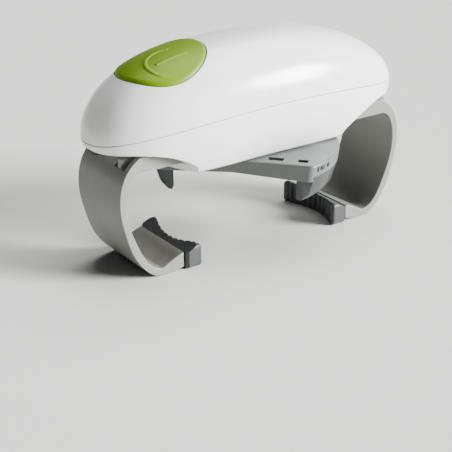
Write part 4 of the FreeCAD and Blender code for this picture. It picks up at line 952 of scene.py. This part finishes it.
    def bowl_end(self, skin: Skin, side: int) -> tuple[np.ndarray, np.ndarray]:
        """Adds one flared bowl end with its arm slot, and the underside of the overhang beyond it.

        Args:
            skin: The cover's skin, which grows.
            side: -1 or 1 for the end towards -X or +X.

        Returns:
            Places of the belly wall's columns from the lip to the nose, and the height of each one's foot.
        """
        form = self.form
        z, edge_x, columns = self.half_columns(side)
        radius, half = form.flare_radius(z)[:, None], columns.shape[1] - 1
        both = np.concatenate([-columns[:, :0:-1], columns], axis=1)
        flare = points_of(side * (form.end_axis() + radius * np.cos(both)), radius * np.sin(both), z[:, None])
        keep = np.ones((flare.shape[0] - 1, flare.shape[1] - 1), bool)
        rows = (z[:-1] >= self.slot_z[0] - TINY) & (z[1:] <= self.slot_z[1] + TINY)
        keep[np.ix_(rows, np.arange(half - self.slot_columns, half + self.slot_columns))] = False
        skin.grid(flare, keep)
        tip = solve(lambda s: form.tray - (form.seam(side * s) - form.deep(side * s)),
                    np.array([self.tip]), np.array([edge_x[-1]]))[0]
        tail = edge_x[-1] + (tip - edge_x[-1]) * np.sin(np.linspace(0, np.pi / 2, half + 1))
        inner = flare[-1, half:]
        outer = points_of(side * tail[::-1], form.side(side * tail[::-1], form.tray), form.tray)
        outer[0, 1] = 0.0
        strip = inner + (outer - inner) * np.linspace(0, 1, self.strip_rows)[:, None, None]
        skin.grid(strip)
        skin.grid(strip * [1, -1, 1])
        nose = np.linspace(tip, self.tip, self.nose_columns + 1)[1:]
        return (np.concatenate([edge_x, tail[1:], nose]),
                np.concatenate([z, np.full(half + self.nose_columns, form.tray)]))

    def lower_cover(self) -> None:
        """The belly wall, two flared bowl ends with arm slots, and the undersides of the overhangs."""
        form, skin = self.form, Skin()
        (left, left_low), (right, right_low) = [self.bowl_end(skin, side) for side in (-1, 1)]
        middle = np.linspace(-left[0], right[0], self.middle_columns)[1:-1]
        x = np.concatenate([-left[::-1], middle, right])[:, None]
        low = np.concatenate([left_low[::-1], np.full(middle.size, form.lip), right_low])[:, None]
        part = np.linspace(0, 1, self.wall_rows)
        angle = np.arcsin(form.fall(x, low)) * part
        drop = np.hypot(form.deep(x) * np.sin(angle), (self.gap / 2 + self.edge) * (1 - part))
        wall = points_of(x, form.wide(x) * np.cos(angle), form.seam(x) - drop)
        skin.grid(wall)
        skin.grid(wall * [1, -1, 1])
        skin.grid(self.rolled_edge(x[:, 0], -1.0), wrap=True)
        thing = skin.piece("lower_cover_shell", sharp_degrees=28.0)
        outward(thing, self.middle)
        thicken(thing, self.wall, self.nose_shares(vertices(thing)))
        dress(thing, Coat.HOUSING, "housing", "housing_white", "lower_cover")

    def lip_outline(self) -> np.ndarray:
        """The lip's outline in plan: an arc at each end and the belly's flanks between them.

        Returns:
            Rows of X and Y, once round.
        """
        form, arcs, loop = self.form, [], []
        for side in (1, -1):
            most = self.half_columns(side)[2][0, -1]
            angle = np.linspace(-most, most, self.arc_columns)
            arcs.append(side * points_of(form.end_axis() + form.lip_radius * np.cos(angle),
                                         form.lip_radius * np.sin(angle)))
        for side, (arc, after) in zip((1, -1), (arcs, arcs[::-1])):
            flank = np.linspace(arc[-1], after[0], self.flank_columns)[1:-1]
            flank[:, 1] = side * form.side(flank[:, 0], form.lip)
            loop += [arc, flank]
        return np.concatenate(loop)

    def bowl_floor(self) -> None:
        """The lip's underside, the small step up to the floor and the floor as far as the hub's bore.

        Each ring is the lip's outline drawn in; between step and bore the rings blend into a circle.
        """
        lip, loop = self.form.lip, self.lip_outline()
        bore = loop / np.linalg.norm(loop, axis=1, keepdims=True) * self.hub
        plans = [(loop * (1 - inset / np.array(self.floor_half)), rise) for inset, rise in self.floor_rings]
        inner, rise = plans[-1]
        plans += [(inner * (1 - part) + bore * part, rise) for part in np.linspace(0, 1, self.floor_rows)[1:]]
        plans.append((bore, self.hub_rise))
        skin = Skin()
        skin.grid(np.array([points_of(plan[:, 0], plan[:, 1], lip + up) for plan, up in plans]), wrap=True)
        thing = skin.piece("bowl_floor_plate", sharp_degrees=40.0)
        if sum(f.normal.z * f.area for f in thing.data.polygons) > 0:
            thing.data.flip_normals()
        dress(thing, Coat.HOUSING, "housing", "housing_white")

    def build(self) -> None:
        """Builds and dresses every piece of the housing."""
        self.upper_cover()
        self.battery_door()
        self.lower_cover()
        self.bowl_floor()


@dataclass
class StartButton:
    """The oval button: the dome raised by a little, a rolled rim, a skirt and a raised power symbol."""

    form: HousingForm = field(default_factory=HousingForm)
    centre: float = -55.3
    half_length: float = 24.3
    half_width: float = 24.2
    proud: float = 1.0
    rim: float = 1.5
    skirt: float = 5.6
    wall: float = 1.6
    travel: float = 1.6
    columns: int = 384
    rings: int = 112
    rim_rings: int = 8
    # Symbol: its height, half its stroke, the softness of its flanks, the bar's ends, the ring's centre and
    # radius, and in degrees where the ring is open and where it fades.
    emboss: float = 0.4
    stroke: float = 0.8
    soft: float = 0.3
    bar: tuple = ((-63.0, -9.2), (-45.6, -9.6))
    ring: tuple = (-56.2, -9.4, 12.2)
    ring_open: float = 62.0
    ring_fade: tuple = (205.0, 245.0)
    # Stem: how far its plate lies below the dome, then (radius, height) of its foot and of the plate's
    # collar, and between them (radius, depth below the plate).
    stem_depth: float = 1.4
    stem_foot: tuple = ((0.0, 105.9), (3.1, 105.9), (3.5, 106.3))
    stem_plate: tuple = ((3.5, 2.0), (5.0, 0.0), (9.9, 0.0))
    stem_collar: tuple = ((9.9, 108.3), (8.2, 108.3))
    stem_columns: int = 64

    def symbol(self, x: np.ndarray, y: np.ndarray) -> np.ndarray:
        """Height of the raised symbol: smooth steps of the distances to a bar and to an open, fading ring.

        Args:
            x: Places along X.
            y: Places along Y.

        Returns:
            The height at each place.
        """
        start, end = np.array(self.bar)
        point, run = points_of(x, y) - start, end - start
        part = np.clip(point @ run / (run @ run), 0, 1)
        to_bar = np.linalg.norm(point - part[..., None] * run, axis=-1)
        middle_x, middle_y, radius = self.ring
        bearing = np.degrees(np.arctan2(y - middle_y, x - middle_x))
        past = np.radians(np.clip(self.ring_open - np.abs(bearing), 0, None)) * radius
        to_ring = np.hypot(np.hypot(x - middle_x, y - middle_y) - radius, past)
        low, high = self.ring_fade
        fade = np.clip((high - bearing % 360.0) / (high - low), 0, 1)
        return self.emboss * np.maximum(ramp(self.stroke - to_bar, self.soft),
                                        ramp(self.stroke - to_ring, self.soft) * fade)

    def cap(self) -> np.ndarray:
        """The cap's outer face as rings about its centre, the last ones rolled over as its rim.

        Returns:
            A grid with one row for each ring.
        """
        edge = 1 - self.rim / self.half_width
        curl = edge + (1 - edge) * np.sin(np.linspace(0, np.pi / 2, self.rim_rings + 1)[1:])
        shares = np.append(np.linspace(0.0, edge, self.rings), curl)[:, None]
        drop = self.rim * (1 - np.sqrt(1 - np.clip((shares - edge) / (1 - edge), 0, 1) ** 2))
        turn = np.linspace(0, 2 * np.pi, self.columns, endpoint=False)
        x = self.centre + shares * self.half_length * np.cos(turn)
        y = shares * self.half_width * np.sin(turn)
        return points_of(x, y, self.form.dome(x, y) + self.proud - drop + self.symbol(x, y))

    def build(self) -> None:
        """Builds the cap with its skirt hanging down, the stem under it and the spring."""
        cap = self.cap()
        skin = Skin()
        skin.grid(cap, wrap=True)
        skin.grid(np.array([cap[-1], cap[-1] - [0, 0, self.skirt - self.rim]]), wrap=True)
        thing = skin.piece("start_button_cap", sharp_degrees=50.0)
        outward(thing, (self.centre, 0, 100))
        thicken(thing, self.wall)
        dress(thing, Coat.BUTTON, "button", "button_green", "start_button")
        top = float(self.form.dome(np.array(self.centre), np.array(0.0))) - self.stem_depth
        plate = [(radius, top - depth) for radius, depth in self.stem_plate]
        profile = np.array([*self.stem_foot, *plate, *self.stem_collar])
        stem = Skin()
        stem.grid(revolve(profile, self.stem_columns) + [self.centre, 0, 0], wrap=True)
        dress(stem.piece("start_button_stem"), Coat.BUTTON, "button", "button_green")
        self.spring()

    def spring(self) -> None:
        """The coil under the cap: a merged copy of the CAD coil."""
        coil = softened("button_spring", "button_spring_coil", 0.0)
        coil.modifiers.clear()
        dress(coil, Coat.STEEL, "housing", "spring_steel", "button_spring")
        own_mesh(coil)


# ---------------------------------------------------------------- arms, turntable and jaws

@dataclass
class GripArm:
    """One C-shaped arm with its slide and the soft pad on its tip.

    The pad's ends are rounded by level cuts; nose is the radius, and the rounding fades out over nose_fade.
    """

    side: str
    edge: float = 1.3
    pad_edge: float = 0.35
    pad_sharp: float = 14.0
    nose: float = 2.2
    nose_steps: int = 8
    nose_fade: float = 3.0
    level_normal: float = 0.5

    def ease_ends(self, pad: Object) -> None:
        """Rounds the upper and lower edges of the pad's two ends, as soft moulded rubber has them.

        Level cuts are made near the top and the bottom, and each cut is drawn in along the outline's
        normal by radius - (radius^2 - (radius - depth)^2)^(1/2), fading out along the grip face.

        Args:
            pad: The pad, at rest.
        """
        place = vertices(pad)
        half, top, low = np.abs(place[:, 1]).max(), place[:, 2].max(), place[:, 2].min()
        near, far = np.abs(place[:, 0]).min(), np.abs(place[:, 0]).max()
        start = half - self.nose - self.nose_fade
        work = bmesh.new()
        work.from_mesh(pad.data)
        ends = (start + self.nose) * MM
        for step in range(1, self.nose_steps + 1):
            depth = self.nose * (1 - math.cos(math.pi / 2 * step / self.nose_steps))
            for level in (top - depth, low + depth):
                faces = [f for f in work.faces if max(abs(v.co.y) for v in f.verts) > ends]
                parts = {*faces, *(e for f in faces for e in f.edges), *(v for f in faces for v in f.verts)}
                bmesh.ops.bisect_plane(work, geom=list(parts), plane_no=(0, 0, 1),
                                       plane_co=(0, 0, level * MM))
        bmesh.ops.triangulate(work, faces=[f for f in work.faces if abs(f.normal.z) > self.level_normal])
        for vert in work.verts:
            x, y, z = (v / MM for v in vert.co)
            depth = min(top - z, z - low, self.nose)
            inset = self.nose - math.sqrt(max(self.nose ** 2 - (self.nose - depth) ** 2, 0.0))
            ahead = min(max((abs(y) - half + self.nose) / self.nose, 0.0), 1.0)
            fade = min(max((abs(y) - start) / self.nose_fade, 0.0), 1.0)
            across = math.sqrt(1 - ahead ** 2) * fade * (far - abs(x)) / (far - near)
            vert.co.x += math.copysign(inset * across * MM, x)
            vert.co.y -= math.copysign(inset * ahead * MM, y)
        work.to_mesh(pad.data)
        work.free()
        shade(pad.data, self.pad_sharp)

    def build(self) -> None:
        """Rounds the moulded arm and its pad and dresses them."""
        body = f"{self.side}_grip_arm"
        low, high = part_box(f"{self.side}_arm")
        across = (high[1] - low[1]) / 2 / MM
        arm = softened(f"{self.side}_arm", f"{self.side}_arm_moulding", self.edge, across)
        dress(arm, Coat.ARM, body, "arm_grey", f"{self.side}_arm")
        block = f"{self.side}_jar_pad_block"
        pad = softened(f"{self.side}_jar_pad", block, self.pad_edge, sharp=self.pad_sharp)
        self.ease_ends(pad)
        dress(pad, Coat.PAD, body, "grip_rubber", f"{self.side}_jar_pad")


@dataclass
class Turntable:
    """The inverted tray under the bowl and its base plate."""

    edge: float = 0.6
    base_edge: float = 0.25

    def build(self) -> None:
        """Rounds the edges of tray and base plate and dresses both."""
        tray = softened("turntable", "turntable_tray", self.edge)
        dress(tray, Coat.TURNTABLE, "turntable", "turntable_grey", "turntable")
        base = softened("turntable_base", "turntable_base_plate", self.base_edge)
        dress(base, Coat.JAW, "turntable", "jaw_dark", "turntable_base")


@dataclass
class LidJaw:
    """One curved jaw with its rack and the ribbed rubber liner.

    The liner's section has its corners cut by (share of the thickness, height), and its grip face stands
    back by crest from the inner radius and forward again by up to rib_depth at each rib.
    """

    end: str
    heading: float
    edge: float = 0.5
    inner: float = 43.0
    back: float = 44.58
    low: float = 34.6
    high: float = 44.9
    corner: tuple = (0.25, 0.25)
    half_angle: float = 35.0
    ribs: int = 28
    rib_columns: int = 12
    rib_depth: float = 0.32
    crest: float = 0.3
    end_quads: tuple = ((0, 5), (0, 4), (1, 4), (2, 3))

    def liner(self) -> np.ndarray:
        """The liner's closed section carried round: its inner face waves in and out as upright ribs.

        Returns:
            A grid with one row for each corner of the section, the first one again as the last.
        """
        angle = np.linspace(-self.half_angle, self.half_angle, self.ribs * self.rib_columns + 1)
        wave = self.rib_depth * np.abs(np.sin(np.radians(angle / (2 * self.half_angle) * self.ribs * 180)))
        grip = self.inner + self.crest - wave * np.clip(self.half_angle - np.abs(angle), 0, 1)
        share, cut = self.corner
        low, high = self.low, self.high
        section = np.array([(0.0, low + cut), (share, low), (1.0, low), (1.0, high), (share, high),
                            (0.0, high - cut), (0.0, low + cut)])
        radius = grip + (self.back - grip) * section[:, :1]
        turn = np.radians(angle + self.heading)
        return points_of(radius * np.cos(turn), radius * np.sin(turn), section[:, 1:])

    def build(self) -> None:
        """Rounds the jaw's edges and adds the liner, closed at both ends by quads across its section."""
        body = f"{self.end}_jaw"
        jaw = softened(f"{self.end}_lid_jaw", f"{self.end}_lid_jaw_moulding", self.edge)
        dress(jaw, Coat.JAW, body, "jaw_dark", f"{self.end}_lid_jaw")
        skin = Skin()
        points = self.liner()
        skin.grid(points)
        for column in (0, -1):
            skin.grid(points[np.array(self.end_quads), column])
        thing = skin.piece(f"{self.end}_lid_grip_liner", sharp_degrees=45.0)
        dress(thing, Coat.PAD, body, "grip_rubber", f"{self.end}_lid_grip")


@dataclass
class InnerWorks:
    """The CAD pieces inside the covers, which keep their own shape and get a finish."""

    finishes: dict = field(default_factory=lambda: {
        "housing_screws": Coat.ZINC, "start_switch": Coat.SWITCH,
        "circuit_board": Coat.BOARD, "battery_cells": Coat.CELL, "battery_cradle": Coat.CRADLE,
        "battery_contacts": Coat.STEEL, "gear_deck": Coat.DECK, "gear_axles": Coat.STEEL,
        "motor_bridge": Coat.DECK, "planetary_gearhead": Coat.ZINC, "drive_motor": Coat.ZINC,
        "motor_pinion": Coat.BRASS, "first_gear": Coat.NYLON, "second_gear": Coat.NYLON,
        "output_gear": Coat.NYLON, "drive_shaft": Coat.STEEL, "clutch_disc": Coat.PAD,
        "clutch_spring": Coat.STEEL, "arm_pinion": Coat.NYLON, "turntable_ring": Coat.STEEL})

    def build(self) -> None:
        """Gives each node's material slots its finish."""
        for node, kind in self.finishes.items():
            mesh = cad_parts[node].data
            if not mesh.materials:
                mesh.materials.append(coat(kind))
            for place in range(len(mesh.materials)):
                mesh.materials[place] = coat(kind)
            LOG.info("%s keeps its CAD shape", node)


# ---------------------------------------------------------------- stage

@dataclass
class Studio:
    """The camera, a pale floor and soft lights."""

    place: tuple = (-400.07, -556.94, 304.74)
    across: tuple = (0.82010234, -0.57218923, -0.00562405)
    upward: tuple = (0.23450328, 0.32710904, 0.91542771)
    back: tuple = (-0.5219582, -0.75206327, 0.40244314)
    focal_px: float = 1277.49
    sensor: float = 36.0
    clip: tuple = (0.01, 20.0)
    floor_half: float = 40.0
    floor_z: float = -0.0001
    floor_colour: str = "D2D2D0"
    floor_roughness: float = 0.9
    wall_top: tuple = (0.10, 0.30)
    wall_light: float = 0.7
    roof_light: float = 0.03
    flag_span: tuple = (-0.75, 0.15)
    flag_light: float = 0.12
    suns: tuple = (("key", (1.15, -1.15, 0.52), 0.45, 15.5), ("top", (0.5, 0.2, 1.2), 0.9, 3.2))

    def camera(self) -> None:
        """Adds the camera at its place, turned by its three axes."""
        data = bpy.data.cameras.new("camera")
        data.sensor_width = self.sensor
        data.lens = self.focal_px * self.sensor / IMAGE_SIDE
        data.clip_start, data.clip_end = self.clip
        thing = placed("camera", data)
        turn = Matrix((self.across, self.upward, self.back)).transposed().to_4x4()
        thing.matrix_world = Matrix.Translation(Vector(self.place) * MM) @ turn
        bpy.context.scene.camera = thing

    def sun(self, name: str, come_from: tuple, spread: float, power: float) -> None:
        """Adds a far soft light.

        Args:
            name: The light's name.
            come_from: Direction that it comes from.
            spread: Width of the source as an angle in radians, which softens the shadows.
            power: Strength in watts on a square metre.
        """
        data = bpy.data.lights.new(name, "SUN")
        data.angle = spread
        data.energy = power
        placed(name, data).rotation_euler = Vector(come_from).to_track_quat("Z", "Y").to_euler()

    def room(self) -> None:
        """A world bright just above the horizon, as pale walls are, dim overhead and dimmer towards -X."""
        world = bpy.data.worlds.new("studio")
        world.use_nodes = True
        tree = world.node_tree
        place = add_node(tree, "ShaderNodeTexCoord")
        split = add_node(tree, "ShaderNodeSeparateXYZ", Vector=place.outputs["Generated"]).outputs
        fall = ranged(tree, split["Z"], self.wall_top, (self.wall_light, self.roof_light))
        flag = ranged(tree, split["X"], self.flag_span, (self.flag_light, 1.0))
        sky = tree.nodes["Background"].inputs
        put(tree, sky["Strength"], reckon(tree, "MULTIPLY", fall, flag))
        put(tree, sky["Color"], linear("FFFFFF"))
        bpy.context.scene.world = world

    def floor(self) -> None:
        """A matt pale floor that runs far past the edge of any view."""
        corners = [(x * self.floor_half, y * self.floor_half, self.floor_z)
                   for x, y in ((-1, -1), (1, -1), (1, 1), (-1, 1))]
        mesh = bpy.data.meshes.new("floor")
        mesh.from_pydata(corners, [], [(0, 1, 2, 3)])
        paper = bpy.data.materials.new("pale_paper")
        paper.use_nodes = True
        looks = paper.node_tree.nodes["Principled BSDF"].inputs
        looks["Base Color"].default_value = linear(self.floor_colour)
        looks["Roughness"].default_value = self.floor_roughness
        mesh.materials.append(paper)
        placed("floor", mesh)

    def build(self) -> None:
        """Builds floor, world, lights and camera."""
        self.floor()
        self.room()
        for name, come_from, spread, power in self.suns:
            self.sun(name, come_from, spread, power)
        self.camera()


def main() -> None:
    """Builds the sub-assemblies in order."""
    logging.basicConfig(level=logging.INFO)
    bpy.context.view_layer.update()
    form = HousingForm()
    Housing(form).build()
    StartButton(form).build()
    for side in ("left", "right"):
        GripArm(side).build()
    Turntable().build()
    for end, bearing in JAW_BEARINGS.items():
        LidJaw(end, bearing).build()
    InnerWorks().build()
    Studio().build()


if __name__ == "__main__":
    main()
